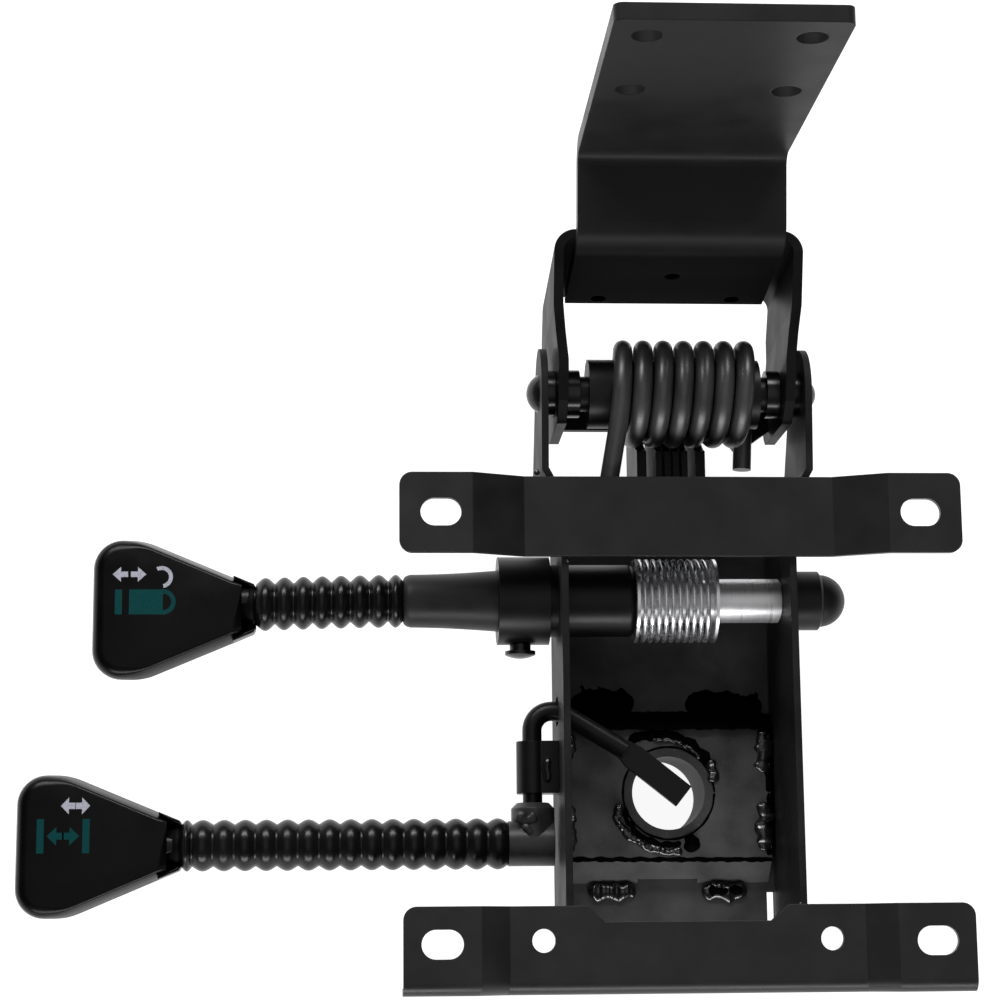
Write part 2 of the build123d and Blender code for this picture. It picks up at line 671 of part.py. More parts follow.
# Back yoke: the strap is drawn square to its leaning web, then trimmed to its side view
lean = radians(yoke_lean)
yoke_plane = Plane(origin=(0, yoke_rear_y, seat_z - yoke_rear_top_drop), x_dir=(1, 0, 0),
                   z_dir=(0, sin(lean), cos(lean)))
yoke_side_z = {
    "rear_top": seat_z - yoke_rear_top_drop,
    "break": seat_z - yoke_top_break_drop,
    "shoulder": seat_z - yoke_shoulder_drop,
    "nose": seat_z - yoke_nose_drop,
    "bottom": seat_z - yoke_bottom_drop,
    "web_bottom": seat_z - yoke_web_bottom_drop,
}
with BuildPart() as back_yoke:
    with BuildSketch(yoke_plane):
        strap_front = yoke_front_y - yoke_rear_y - 2 * yoke_strap
        flat_front = pivot_y - yoke_flat_run - yoke_rear_y
        flat_rear = pivot_y + yoke_flat_run - yoke_rear_y
        taper_run = yoke_taper_y - yoke_rear_y
        with BuildLine():
            Polyline((-yoke_half_front, strap_front), (-yoke_half_pivot, flat_front),
                     (-yoke_half_pivot, flat_rear), (-yoke_half_rear, taper_run), (-yoke_half_rear, 0),
                     (yoke_half_rear, 0), (yoke_half_rear, taper_run), (yoke_half_pivot, flat_rear),
                     (yoke_half_pivot, flat_front), (yoke_half_front, strap_front), close=True)
        strap_face = make_face()
        fillet(strap_face.vertices().group_by(Axis.Y)[-1], yoke_corner_r)
        offset(amount=-yoke_strap, mode=Mode.SUBTRACT)
    extrude(amount=2 * yoke_bottom_drop, both=True)
    with BuildSketch(Plane.YZ):
        with BuildLine():
            Polyline((yoke_rear_y + yoke_strap, yoke_side_z["rear_top"]),
                     (yoke_rear_y - yoke_corner_r, yoke_side_z["rear_top"]),
                     (yoke_top_break_y, yoke_side_z["break"]),
                     (yoke_shoulder_y, yoke_side_z["shoulder"]),
                     (yoke_nose_y, yoke_side_z["nose"]),
                     (yoke_front_y, yoke_side_z["nose"] - yoke_nose_r),
                     (yoke_front_y, yoke_side_z["bottom"] + yoke_foot_y - yoke_front_y),
                     (yoke_foot_y, yoke_side_z["bottom"]),
                     (yoke_taper_y, yoke_side_z["bottom"]),
                     (yoke_rear_y + yoke_strap, yoke_side_z["web_bottom"]), close=True)
        side_face = make_face()
        fillet(side_face.vertices().filter_by_position(Axis.X, yoke_front_y, yoke_foot_y), yoke_strap)
    extrude(amount=yoke_half_rear, both=True, mode=Mode.INTERSECT)
    with BuildSketch(across_x(-yoke_half_rear, pivot_y, pivot_z)):
        Circle(pin_hole_r)
    extrude(amount=2 * yoke_half_rear, mode=Mode.SUBTRACT)

# Back bar: leg against the yoke's web, sloping shelf, upright for the backrest
bar_face_y = yoke_rear_y - yoke_strap / cos(lean)
leg_y = bar_face_y - back_bar_thick / 2 / cos(lean)
leg_low_z = seat_z - back_bar_bottom_drop
shelf_front_z = seat_z - back_bar_shelf_drop
shelf_rise = radians(back_bar_shelf_rise)


def leg_y_at(height):
    """Y of the middle of the leaning leg at a height."""
    return leg_y + (height - (seat_z - yoke_rear_top_drop)) * tan(lean)


upright_run = back_bar_upright_y - leg_y_at(shelf_front_z)
upright_low_z = shelf_front_z + upright_run * tan(shelf_rise)
with BuildPart() as back_bar:
    with BuildSketch(Plane.YZ):
        with BuildLine():
            FilletPolyline((leg_y_at(leg_low_z), leg_low_z), (leg_y_at(shelf_front_z), shelf_front_z),
                           (back_bar_upright_y, upright_low_z),
                           (back_bar_upright_y, seat_z + back_bar_height), radius=back_bar_bend_r)
        trace(line_width=back_bar_thick)
    extrude(amount=back_bar_half_width, both=True)
    top_corners = back_bar.edges().filter_by(Axis.Y).group_by(Axis.Z)[-1]
    fillet(top_corners, back_bar_corner_r)
    hole_low_z = seat_z + back_bar_height - back_hole_top_gap - back_hole_pitch_z
    with BuildSketch(Plane.XZ.offset(-back_bar_upright_y - back_bar_thick)):
        with Locations((0, hole_low_z + back_hole_pitch_z / 2)):
            with GridLocations(back_hole_pitch_x, back_hole_pitch_z, 2, 2):
                Circle(back_hole_r)
    extrude(amount=2 * back_bar_thick, mode=Mode.SUBTRACT)

# Rivets, square to the leaning leg; their holes pass through the leg and the yoke's web
rivet_places = ((-rivet_spread_x, rivet_low_drop), (rivet_spread_x, rivet_low_drop), (0, rivet_high_drop))
rivet_planes = [
    Plane(origin=(x, leg_y_at(seat_z - drop), seat_z - drop), x_dir=(1, 0, 0),
          z_dir=(0, -cos(lean), sin(lean)))
    for x, drop in rivet_places
]
with BuildPart() as back_bar_rivets:
    with BuildSketch(*rivet_planes):
        Circle(rivet_r)
    extrude(amount=back_bar_thick / 2)
    with BuildSketch(*rivet_planes):
        Circle(rivet_r)
    extrude(amount=-back_bar_thick / 2 - yoke_strap)
    for plane in rivet_planes:
        with BuildSketch(plane.offset(back_bar_thick / 2)):
            Circle(rivet_head_r)
        extrude(amount=rivet_head_height / 2)
        with BuildSketch(plane.offset(back_bar_thick / 2 + rivet_head_height / 2)):
            Circle(rivet_head_r)
        extrude(amount=rivet_head_height / 2, taper=rivet_taper)
        with BuildSketch(plane.offset(-back_bar_thick / 2 - yoke_strap)):
            Circle(rivet_head_r)
        extrude(amount=-rivet_head_height / 2)
save(back_bar_rivets, "back_bar_rivets")

with back_bar:
    with BuildSketch(*[plane.offset(back_bar_thick) for plane in rivet_planes]):
        Circle(rivet_r)
    extrude(amount=-2 * back_bar_thick, mode=Mode.SUBTRACT)
save(back_bar, "back_bar")

with back_yoke:
    with BuildSketch(*rivet_planes):
        Circle(rivet_r)
    extrude(amount=-back_bar_thick - yoke_strap, mode=Mode.SUBTRACT)
save(back_yoke, "back_yoke")

# Cross plate of the yoke, just under the coil, with a ledge for the stub of the spring
cross_plate_top_z = pivot_z - tilt_coil_r - tilt_wire / 2 - seat_gap


def yoke_inside_at(y):
    """Inner half width of the yoke's arms at a place along Y, in front of its taper."""
    flat_front_y = pivot_y - yoke_flat_run
    taper_front_y = yoke_front_y - 2 * yoke_strap
    share = min(1, (y - taper_front_y) / (flat_front_y - taper_front_y))
    return yoke_half_front + (yoke_half_pivot - yoke_half_front) * share - yoke_strap - seat_gap


ledge_right_x = yoke_inside_at(cross_plate_front_y) - cross_plate_ledge_inset
ledge_left_x = ledge_right_x - cross_plate_ledge_width
with BuildPart() as yoke_cross_plate:
    with BuildSketch(Plane.XY.offset(cross_plate_top_z - cross_plate_thick)):
        with BuildLine():
            Polyline((-yoke_inside_at(cross_plate_front_y), cross_plate_front_y),
                     (ledge_left_x - cross_plate_chamfer, cross_plate_front_y),
                     (ledge_left_x, cross_plate_ledge_y), (ledge_right_x, cross_plate_ledge_y),
                     (yoke_inside_at(cross_plate_front_y), cross_plate_front_y),
                     (yoke_inside_at(cross_plate_rear_y), cross_plate_rear_y),
                     (-yoke_inside_at(cross_plate_rear_y), cross_plate_rear_y), close=True)
        make_face()
    extrude(amount=cross_plate_thick)
save(yoke_cross_plate, "yoke_cross_plate")

# Lock plates, welded under the cross plate, their tops cut clear of the coil
plate_weld_z = cross_plate_top_z - cross_plate_thick
lock_plate_top_z = seat_z - lock_plate_top_drop
coil_reach = tilt_coil_r + tilt_wire / 2 + lock_plate_coil_gap
lock_plate_step_y = pivot_y - sqrt(coil_reach ** 2 - (lock_plate_top_z - pivot_z) ** 2)
lock_plate_tuck_y = cross_plate_front_y - cross_plate_thick
lock_plate_tuck_z = pivot_z - sqrt(coil_reach ** 2 - (lock_plate_tuck_y - pivot_y) ** 2)
outer_plates = [(x, outer_plate_thick) for x in (outer_plate_left_x, outer_plate_right_x)]
inner_plates = [(inner_plate_first_x + k * inner_plate_pitch, inner_plate_thick)
                for k in range(inner_plate_count)]
with BuildPart() as lock_plates:
    for plate_x, plate_thick in outer_plates + inner_plates:
        with BuildSketch(Plane.YZ.offset(plate_x - plate_thick / 2)):
            with BuildLine():
                RadiusArc((lock_plate_step_y, lock_plate_top_z), (lock_plate_tuck_y, lock_plate_tuck_z),
                          -coil_reach)
                Polyline((lock_plate_tuck_y, lock_plate_tuck_z), (lock_plate_tuck_y, plate_weld_z),
                         (lock_plate_rear_y, plate_weld_z),
                         (lock_plate_rear_y, seat_z - lock_plate_bottom_drop + cross_plate_chamfer),
                         (lock_plate_rear_y - cross_plate_chamfer, seat_z - lock_plate_bottom_drop),
                         (lock_plate_front_y, seat_z - lock_plate_bottom_drop),
                         (lock_plate_front_y, lock_plate_top_z), (lock_plate_step_y, lock_plate_top_z))
            make_face()
        extrude(amount=plate_thick)
save(lock_plates, "lock_plates")

# Lock collar, welded outside the left wall on the end of the sleeve
with BuildPart() as lock_collar:
    with BuildSketch(across_x(lock_collar_left_x, lock_y, lock_z)):
        Circle(lock_collar_r)
    extrude(amount=sleeve_left_x - lock_collar_left_x)
    with BuildSketch(across_x(lock_collar_left_x, lock_y, lock_z)):
        Circle(boot_right_r + soft_clearance)
    extrude(amount=lock_collar_recess_depth, mode=Mode.SUBTRACT)
    with BuildSketch(across_x(lock_collar_left_x, lock_y, lock_z)):
        Circle(shaft_r + running_fit)
    extrude(amount=sleeve_left_x - lock_collar_left_x, mode=Mode.SUBTRACT)
    with BuildSketch(Plane(origin=(cam_pin_x, lock_y, lock_z), x_dir=(1, 0, 0), z_dir=(0, -1, 0))):
        Circle(cam_pin_r)
    extrude(amount=lock_collar_r + cut_overrun, mode=Mode.SUBTRACT)
save(lock_collar, "lock_collar")

# Cam pin: its tip guides the shaft, its head stands out of the collar
pin_plane = Plane(origin=(cam_pin_x, lock_y - cam_pin_depth, lock_z), x_dir=(1, 0, 0), z_dir=(0, 0, 1))
cam_dome_height = cam_pin_head_height / 2
cam_rise, cam_middle_r = dome_middle(cam_pin_head_r, cam_dome_height)
with BuildPart() as lock_cam_pin:
    with BuildSketch(pin_plane):
        reach = cam_pin_reach - cam_pin_depth
        collar_reach = lock_collar_r - cam_pin_depth
        neck_reach = reach - cam_pin_head_height
        dome_reach = reach - cam_dome_height
        with BuildLine():
            Polyline((0, 0), (cam_pin_r, 0), (cam_pin_r, -collar_reach), (cam_pin_neck_r, -collar_reach),
                     (cam_pin_neck_r, -neck_reach), (cam_pin_head_r, -neck_reach),
                     (cam_pin_head_r, -dome_reach))
            ThreePointArc((cam_pin_head_r, -dome_reach), (cam_middle_r, -dome_reach - cam_rise),
                          (0, -reach))
            Line((0, -reach), (0, 0))
        make_face()
    revolve(axis=Axis((cam_pin_x, lock_y, lock_z), (0, -1, 0)))
save(lock_cam_pin, "lock_cam_pin")

# Sleeve through the left wall
with BuildPart() as lock_sleeve:
    with BuildSketch(across_x(sleeve_left_x, lock_y, lock_z)):
        Circle(sleeve_r)
    extrude(amount=sleeve_right_x - sleeve_left_x)
    fillet(lock_sleeve.edges().group_by(Axis.X)[-1], sleeve_round_r)
    with BuildSketch(across_x(sleeve_left_x, lock_y, lock_z)):
        Circle(shaft_r + running_fit)
    extrude(amount=sleeve_right_x - sleeve_left_x, mode=Mode.SUBTRACT)
save(lock_sleeve, "lock_sleeve")

# Lock shaft, with its neck in the right wall, the slot for the cam pin and the socket for the lever rod
with BuildPart() as lock_shaft:
    with BuildSketch(across_x(shaft_left_x, lock_y, lock_z)):
        Circle(shaft_r)
    extrude(amount=shaft_shoulder_x - shaft_left_x)
    with BuildSketch(across_x(shaft_shoulder_x, lock_y, lock_z)):
        Circle(shaft_neck_r)
    extrude(amount=shaft_neck_end_x - shaft_shoulder_x)
    with BuildSketch(across_x(shaft_left_x, lock_y, lock_z)):
        Circle(lever_rod_r + running_fit)
    extrude(amount=rod_socket_depth, mode=Mode.SUBTRACT)
    slot_length = 2 * (cam_pin_r + running_fit) + shaft_travel
    with BuildSketch(Plane(origin=(cam_pin_x + shaft_travel / 2, lock_y - cam_pin_depth + running_fit,
                                   lock_z), x_dir=(1, 0, 0), z_dir=(0, -1, 0))):
        SlotOverall(slot_length, 2 * (cam_pin_r + running_fit))
    extrude(amount=shaft_r, mode=Mode.SUBTRACT)
save(lock_shaft, "lock_shaft")

# Washers at the two ends of the lock spring
left_washer_end_x = sleeve_right_x + washer_thick
save(ring(sleeve_right_x, left_washer_end_x, washer_r, shaft_r + running_fit, lock_y, lock_z),
     "lock_washer_left")
save(ring(lock_spring_right_x + seat_gap, lock_spring_right_x + seat_gap + washer_thick, washer_r, shaft_r,
          lock_y, lock_z), "lock_washer_right")


def lock_station(turn):
    """Point and direction of the lock spring, counted in turns from its left end."""
    angle = 2 * pi * turn
    first_x = left_washer_end_x + seat_gap + lock_spring_wire / 2
    pitch = (lock_spring_right_x - lock_spring_wire / 2 - first_x) / lock_spring_turns
    place = Vector(first_x + pitch * turn,
                   lock_y + lock_spring_r * cos(angle), lock_z + lock_spring_r * sin(angle))
    heading = Vector(pitch / (2 * pi), -lock_spring_r * sin(angle), lock_spring_r * cos(angle))
    return place, heading.normalized()


with BuildPart() as lock_spring:
    with BuildLine() as lock_path:
        stations = [lock_station(0.5 * half) for half in range(2 * lock_spring_turns + 1)]
        biarc_run(stations)
    lock_wire_path = lock_path.wires()[0]
    with BuildSketch(Plane(origin=lock_wire_path @ 0, z_dir=lock_wire_path % 0)):
        Circle(lock_spring_wire / 2)
    sweep(path=lock_wire_path)
save(lock_spring, "lock_spring")
print("lock spring, least gap to itself",
      round(least_gap(lock_wire_path, lock_spring_wire, pi * lock_spring_r), 3))
print("lock spring, volume share of section times length",
      round(lock_spring.part.volume / (pi * (lock_spring_wire / 2) ** 2 * lock_wire_path.length), 4))

# Rubber cap over the neck of the shaft, outside the right wall
cap_rise, cap_middle_r = dome_middle(cap_dome_r, cap_end_x - cap_step_x)
with BuildPart() as shaft_end_cap:
    with BuildSketch(along_x(lock_y, lock_z)):
        with BuildLine():
            Polyline((channel_half_width, 0), (channel_half_width, cap_r), (cap_step_x - cap_edge_r, cap_r),
                     (cap_step_x, cap_dome_r))
            ThreePointArc((cap_step_x, cap_dome_r), (cap_step_x + cap_rise, cap_middle_r), (cap_end_x, 0))
            Line((cap_end_x, 0), (channel_half_width, 0))
        make_face()
    revolve(axis=Axis((0, lock_y, lock_z), (1, 0, 0)))
    with BuildSketch(across_x(channel_half_width, lock_y, lock_z)):
        Circle(shaft_neck_r + soft_clearance)
    extrude(amount=shaft_neck_end_x + soft_clearance - channel_half_width, mode=Mode.SUBTRACT)
save(shaft_end_cap, "shaft_end_cap")

# Lock lever: rod, boot, ribbed grip and paddle
lock_neck_x = lock_grip_left_x
rod_right_x = shaft_left_x + rod_socket_depth - seat_gap
rod_left_x = lock_neck_x - paddle_socket_depth + running_fit
save(ring(rod_left_x, rod_right_x, lever_rod_r, 0, lock_y, lock_z), "lock_lever_rod")
with BuildPart() as lock_boot:
    with BuildSketch(across_x(boot_left_x, lock_y, lock_z)):
        Circle(boot_left_r)
    with BuildSketch(across_x(boot_right_x, lock_y, lock_z)):
        Circle(boot_right_r)
    loft()
    with BuildSketch(across_x(boot_left_x, lock_y, lock_z)):
        Circle(lever_rod_r + running_fit)
    extrude(amount=boot_right_x - boot_left_x, mode=Mode.SUBTRACT)
save(lock_boot, "lock_boot")
save(ribbed_tube(lock_grip_left_x, boot_left_x, lock_grip_ribs, lock_rib_r, lock_valley_r,
                 lever_rod_r + running_fit, lock_y, lock_z), "lock_grip")
save(paddle(lock_neck_x, lock_y + lock_paddle_offset_y, lock_z, lock_y), "lock_paddle")

# Lift lever: hinge rod with its elbow, flattened blade over the gas spring
blade_dx = lift_blade_end_x - lift_blade_start_x
blade_dy = lift_blade_end_y - lift_blade_start_y
blade_run = sqrt(blade_dx ** 2 + blade_dy ** 2)
blade_dir = Vector(blade_dx, blade_dy, 0) / blade_run
blade_side = Vector(-blade_dir.Y, blade_dir.X, 0)
blade_start = Vector(lift_blade_start_x, lift_blade_start_y, 0)
with BuildPart() as lift_rod:
    with BuildLine() as lift_path:
        FilletPolyline((lift_hinge_x, lift_arm_y, lift_z), (lift_hinge_x, lift_elbow_y, lift_z),
                       (lift_inside_x, lift_elbow_y, lift_z),
                       (lift_blade_start_x, lift_blade_start_y, lift_z),
                       radius=(lift_elbow_r, lift_wall_bend_r))
    lift_wire_path = lift_path.wires()[0]
    with BuildSketch(Plane(origin=lift_wire_path @ 0, z_dir=lift_wire_path % 0)):
        Circle(lift_rod_r)
    sweep(path=lift_wire_path)
    with BuildSketch(Plane.XY.offset(lift_z - lift_blade_thick / 2)):
        with BuildLine():
            neck_back = blade_start - blade_dir * lift_rod_r
            wide_start = blade_start + blade_dir * lift_rod_r
            blade_end = blade_start + blade_dir * blade_run
            corners = [neck_back + blade_side * lift_rod_r * blade_neck_share,
                       wide_start + blade_side * lift_blade_half_width,
                       blade_end + blade_side * lift_blade_half_width,
                       blade_end - blade_side * lift_blade_half_width,
                       wide_start - blade_side * lift_blade_half_width,
                       neck_back - blade_side * lift_rod_r * blade_neck_share]
            Polyline(*[(corner.X, corner.Y) for corner in corners], close=True)
        make_face()
    extrude(amount=lift_blade_thick)
save(lift_rod, "lift_rod")

# Hinge sleeve on the left wall, with its gusset
with BuildPart() as lift_pivot_sleeve:
    with BuildSketch(Plane.XZ.offset(-lift_sleeve_rear_y)):
        with Locations((lift_hinge_x, lift_z)):
            Circle(lift_sleeve_r)
            Circle(lift_rod_r + running_fit, mode=Mode.SUBTRACT)
    extrude(amount=lift_sleeve_rear_y - lift_sleeve_front_y)
save(lift_pivot_sleeve, "lift_pivot_sleeve")
with BuildPart() as lift_sleeve_gusset:
    gusset_half_height = lift_sleeve_r * gusset_height_share
    with BuildSketch(Plane.XZ.offset(-lift_sleeve_rear_y)):
        with BuildLine():
            Polyline((lift_hinge_x, lift_z - gusset_half_height),
                     (-channel_half_width, lift_z - gusset_half_height),
                     (-channel_half_width, lift_z + gusset_half_height),
                     (lift_hinge_x, lift_z + gusset_half_height), close=True)
        make_face()
        with Locations((lift_hinge_x, lift_z)):
            Circle(lift_sleeve_r, mode=Mode.SUBTRACT)
    extrude(amount=lift_sleeve_rear_y - lift_sleeve_front_y)
save(lift_sleeve_gusset, "lift_sleeve_gusset")

# Knuckle that joins the hinge rod to the lever arm
with BuildPart() as lift_knuckle:
    with BuildSketch(across_x(knuckle_left_x, lift_arm_y, lift_z)):
        Circle(knuckle_r)
    extrude(amount=knuckle_right_x - knuckle_left_x)
    with BuildSketch(Plane.XZ.offset(-knuckle_top_y)):
        with Locations((lift_hinge_x, lift_z)):
            Circle(knuckle_neck_r)
    extrude(amount=knuckle_top_y - lift_arm_y)
    chamfer(lift_knuckle.edges().group_by(Axis.Y)[-1], knuckle_chamfer)
    with BuildSketch(Plane.XZ.offset(-knuckle_top_y)):
        with Locations((lift_hinge_x, lift_z)):
            Circle(lift_rod_r)
    extrude(amount=knuckle_top_y - lift_arm_y, mode=Mode.SUBTRACT)
save(lift_knuckle, "lift_knuckle")
lift_neck_x = lift_grip_left_x
save(ring(lift_neck_x - paddle_socket_depth + running_fit, knuckle_left_x, lever_rod_r, 0,
          lift_arm_y, lift_z), "lift_lever_rod")
save(ribbed_tube(lift_grip_left_x, knuckle_left_x, lift_grip_ribs, lift_rib_r, lift_valley_r,
                 lever_rod_r + running_fit, lift_arm_y, lift_z), "lift_grip")
save(paddle(lift_neck_x, lift_arm_y, lift_z, lift_arm_y), "lift_paddle")
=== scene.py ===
"""Office chair tilt mechanism: materials, moulded parts, welds, light and camera on the frame."""

import math
import random

import bmesh
import bpy
from mathutils import Matrix, Vector


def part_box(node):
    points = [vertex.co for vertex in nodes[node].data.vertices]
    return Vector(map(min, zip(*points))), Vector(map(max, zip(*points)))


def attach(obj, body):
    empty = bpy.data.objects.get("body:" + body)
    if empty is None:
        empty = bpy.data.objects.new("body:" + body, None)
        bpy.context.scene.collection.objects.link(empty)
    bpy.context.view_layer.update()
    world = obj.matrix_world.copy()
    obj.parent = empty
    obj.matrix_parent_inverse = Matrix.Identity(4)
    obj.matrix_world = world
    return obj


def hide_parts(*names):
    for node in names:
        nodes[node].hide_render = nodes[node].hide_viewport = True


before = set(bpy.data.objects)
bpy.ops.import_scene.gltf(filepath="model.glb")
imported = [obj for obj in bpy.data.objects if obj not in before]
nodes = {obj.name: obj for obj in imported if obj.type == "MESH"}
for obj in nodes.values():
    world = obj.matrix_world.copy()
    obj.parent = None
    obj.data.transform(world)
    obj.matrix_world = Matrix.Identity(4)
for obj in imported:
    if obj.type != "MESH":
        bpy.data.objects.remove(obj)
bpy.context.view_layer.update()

MM = 0.001


# Materials

# socket numbers of a Mix node: the colour pair and result, then the plain value pair and result
MIX_COLOUR_A, MIX_COLOUR_B, MIX_COLOUR_OUT = 6, 7, 2
MIX_FACTOR, MIX_VALUE_A, MIX_VALUE_B, MIX_VALUE_OUT = 0, 2, 3, 0
BEVEL_SAMPLES = 6
# noise waves a metre
COAT_MOTTLE_WAVES = 60.0
FLECK_WAVES = 1400.0
MOULD_MOTTLE_WAVES = 90.0
INK_WAVES = 1600.0
# half the height, as a share of the node's, over which the painted light or painted shade of a
# lower part ends
LOWER_BLEND = 0.03


def tree_of(name):
    """A new material with its node tree and its shader."""
    material = bpy.data.materials.new(name)
    material.use_nodes = True
    tree = material.node_tree
    return material, tree, tree.nodes["Principled BSDF"]


def noise(tree, scale, detail=3.0, stretch=(1, 1, 1)):
    """Noise in the object's own coordinates; scale is in waves a metre."""
    place = tree.nodes.new("ShaderNodeTexCoord")
    mapping = tree.nodes.new("ShaderNodeMapping")
    mapping.inputs["Scale"].default_value = stretch
    texture = tree.nodes.new("ShaderNodeTexNoise")
    texture.inputs["Scale"].default_value = scale
    texture.inputs["Detail"].default_value = detail
    tree.links.new(place.outputs["Object"], mapping.inputs["Vector"])
    tree.links.new(mapping.outputs["Vector"], texture.inputs["Vector"])
    return texture.outputs["Fac"]


def ramp(tree, value, low, high, low_at=0.35, high_at=0.65):
    """A colour ramp between two greys or colours."""
    node = tree.nodes.new("ShaderNodeValToRGB")
    for element, at, colour in zip(node.color_ramp.elements, (low_at, high_at), (low, high)):
        element.position = at
        element.color = (*colour, 1.0)
    tree.links.new(value, node.inputs["Fac"])
    return node.outputs["Color"]


def spread(tree, value, low, high, low_at=0.3, high_at=0.7):
    """A value range mapped to another."""
    node = tree.nodes.new("ShaderNodeMapRange")
    node.inputs["From Min"].default_value = low_at
    node.inputs["From Max"].default_value = high_at
    node.inputs["To Min"].default_value = low
    node.inputs["To Max"].default_value = high
    tree.links.new(value, node.inputs["Value"])
    return node.outputs["Result"]


def mix_colours(tree, one, other, factor=None, blend="MIX"):
    """Two colours mixed by a linked factor, or wholly where there is none."""
    node = tree.nodes.new("ShaderNodeMix")
    node.data_type = "RGBA"
    node.blend_type = blend
    if factor is None:
        node.inputs["Factor"].default_value = 1.0
    else:
        tree.links.new(factor, node.inputs["Factor"])
    tree.links.new(one, node.inputs[MIX_COLOUR_A])
    tree.links.new(other, node.inputs[MIX_COLOUR_B])
    return node.outputs[MIX_COLOUR_OUT]


def bump(tree, height, distance, strength, normal=None):
    """A bump of that depth in metres, on top of another normal."""
    node = tree.nodes.new("ShaderNodeBump")
    node.inputs["Strength"].default_value = strength
    node.inputs["Distance"].default_value = distance
    tree.links.new(height, node.inputs["Height"])
    if normal is not None:
        tree.links.new(normal, node.inputs["Normal"])
    return node.outputs["Normal"]


def round_edges(tree, radius):
    """A normal that rounds every edge by that radius in metres."""
    node = tree.nodes.new("ShaderNodeBevel")
    node.samples = BEVEL_SAMPLES
    node.inputs["Radius"].default_value = radius
    return node.outputs["Normal"]


def grey(value):
    """A grey with a trace of blue."""
    return (value, value, value * 1.02)


def mottled(tree, value, base, mottle):
    """A grey that wanders by the share mottle on both sides of base."""
    return ramp(tree, value, grey(base * (1 - mottle)), grey(base * (1 + mottle)))


def coat(name, base, rough, grain=900.0, depth=0.03, edge=0.5, mottle=0.25, fleck=0.0, gloss=0.5,
         lower_share=0.0, lower_shading_base=0.0, lower_rough=None):
    """Black coat on steel: slow mottling, fine orange peel and soft edges, lengths in millimetres.

    Below lower_share of the node's height the coat takes the grey given for that lower part,
    which is painted light or painted shade rather than a second paint, and is as rough as
    lower_rough.
    """
    material, tree, shader = tree_of(name)
    slow = noise(tree, COAT_MOTTLE_WAVES, 4.0)
    fine = noise(tree, grain, 2.0)
    colour = mottled(tree, slow, base, mottle)
    if fleck:
        specks = ramp(tree, noise(tree, FLECK_WAVES, 1.0), (0, 0, 0), grey(fleck), 0.68, 0.76)
        colour = mix_colours(tree, colour, specks, blend="ADD")
    roughness = spread(tree, slow, rough * 0.88, rough * 1.12)
    if lower_share:
        place = tree.nodes.new("ShaderNodeTexCoord")
        split = tree.nodes.new("ShaderNodeSeparateXYZ")
        tree.links.new(place.outputs["Generated"], split.inputs["Vector"])
        height = spread(tree, split.outputs["Z"], 0.0, 1.0,
                        lower_share - LOWER_BLEND, lower_share + LOWER_BLEND)
        # the lower part's own grey: painted light or painted shade, set by each coat
        colour = mix_colours(tree, mottled(tree, slow, lower_shading_base, mottle), colour, height)
        if lower_rough:
            blend = tree.nodes.new("ShaderNodeMix")
            blend.inputs[MIX_VALUE_A].default_value = lower_rough
            tree.links.new(height, blend.inputs[MIX_FACTOR])
            tree.links.new(roughness, blend.inputs[MIX_VALUE_B])
            roughness = blend.outputs[MIX_VALUE_OUT]
    tree.links.new(colour, shader.inputs["Base Color"])
    tree.links.new(roughness, shader.inputs["Roughness"])
    shader.inputs["Specular IOR Level"].default_value = gloss
    soft = round_edges(tree, edge * MM) if edge else None
    tree.links.new(bump(tree, fine, depth * MM, 0.35, soft), shader.inputs["Normal"])
    return material


def bright(name, base, rough, streaks, stretch, metal, depth=0.01):
    """Bare metal with turning or drawing lines."""
    material, tree, shader = tree_of(name)
    lines = noise(tree, streaks, 3.0, stretch)
    tree.links.new(ramp(tree, lines, grey(base * 0.88), grey(base)), shader.inputs["Base Color"])
    shader.inputs["Metallic"].default_value = metal
    tree.links.new(spread(tree, lines, rough * 0.7, rough * 1.4), shader.inputs["Roughness"])
    tree.links.new(bump(tree, lines, depth * MM, 0.3), shader.inputs["Normal"])
    return material


def moulded(name, base, rough, grain=500.0, depth=0.02, gloss=0.5):
    """Rubber or plastic with a fine moulded grain."""
    material, tree, shader = tree_of(name)
    slow = noise(tree, MOULD_MOTTLE_WAVES, 4.0)
    dark, light = (base * 0.75,) * 3, (base * 1.25,) * 3
    tree.links.new(ramp(tree, slow, dark, light), shader.inputs["Base Color"])
    tree.links.new(spread(tree, slow, rough * 0.85, rough * 1.15), shader.inputs["Roughness"])
    shader.inputs["Specular IOR Level"].default_value = gloss
    tree.links.new(bump(tree, noise(tree, grain, 2.0), depth * MM, 0.4), shader.inputs["Normal"])
    return material


def printed(name, colour):
    """Pad printing ink, a little worn."""
    material, tree, shader = tree_of(name)
    wear = noise(tree, INK_WAVES, 3.0)
    faded = tuple(channel * 0.72 for channel in colour)
    tree.links.new(ramp(tree, wear, faded, colour, 0.3, 0.55), shader.inputs["Base Color"])
    shader.inputs["Roughness"].default_value = 0.6
    shader.inputs["Specular IOR Level"].default_value = 0.1
    return material


# painted light: the plate's black paint gets a lighter grey than the bars' so that it reads as lit
# by light falling into the channel
FRAME_PAINT = coat("frame_paint", 0.062, 0.46, fleck=0.02, mottle=0.35, gloss=0.14)
# painted light: the channel's lowest share, its web, is given a lighter grey than its walls to
# stand in for light reaching down into the channel
CHANNEL_PAINT = coat("channel_paint", 0.016, 0.50, fleck=0.01, gloss=0.08,
                     lower_share=0.09, lower_shading_base=0.060)
SOCKET_PAINT = coat("socket_paint", 0.048, 0.50, fleck=0.05, mottle=0.35, gloss=0.04)
BAR_PAINT = coat("bar_paint", 0.010, 0.40, gloss=0.38)
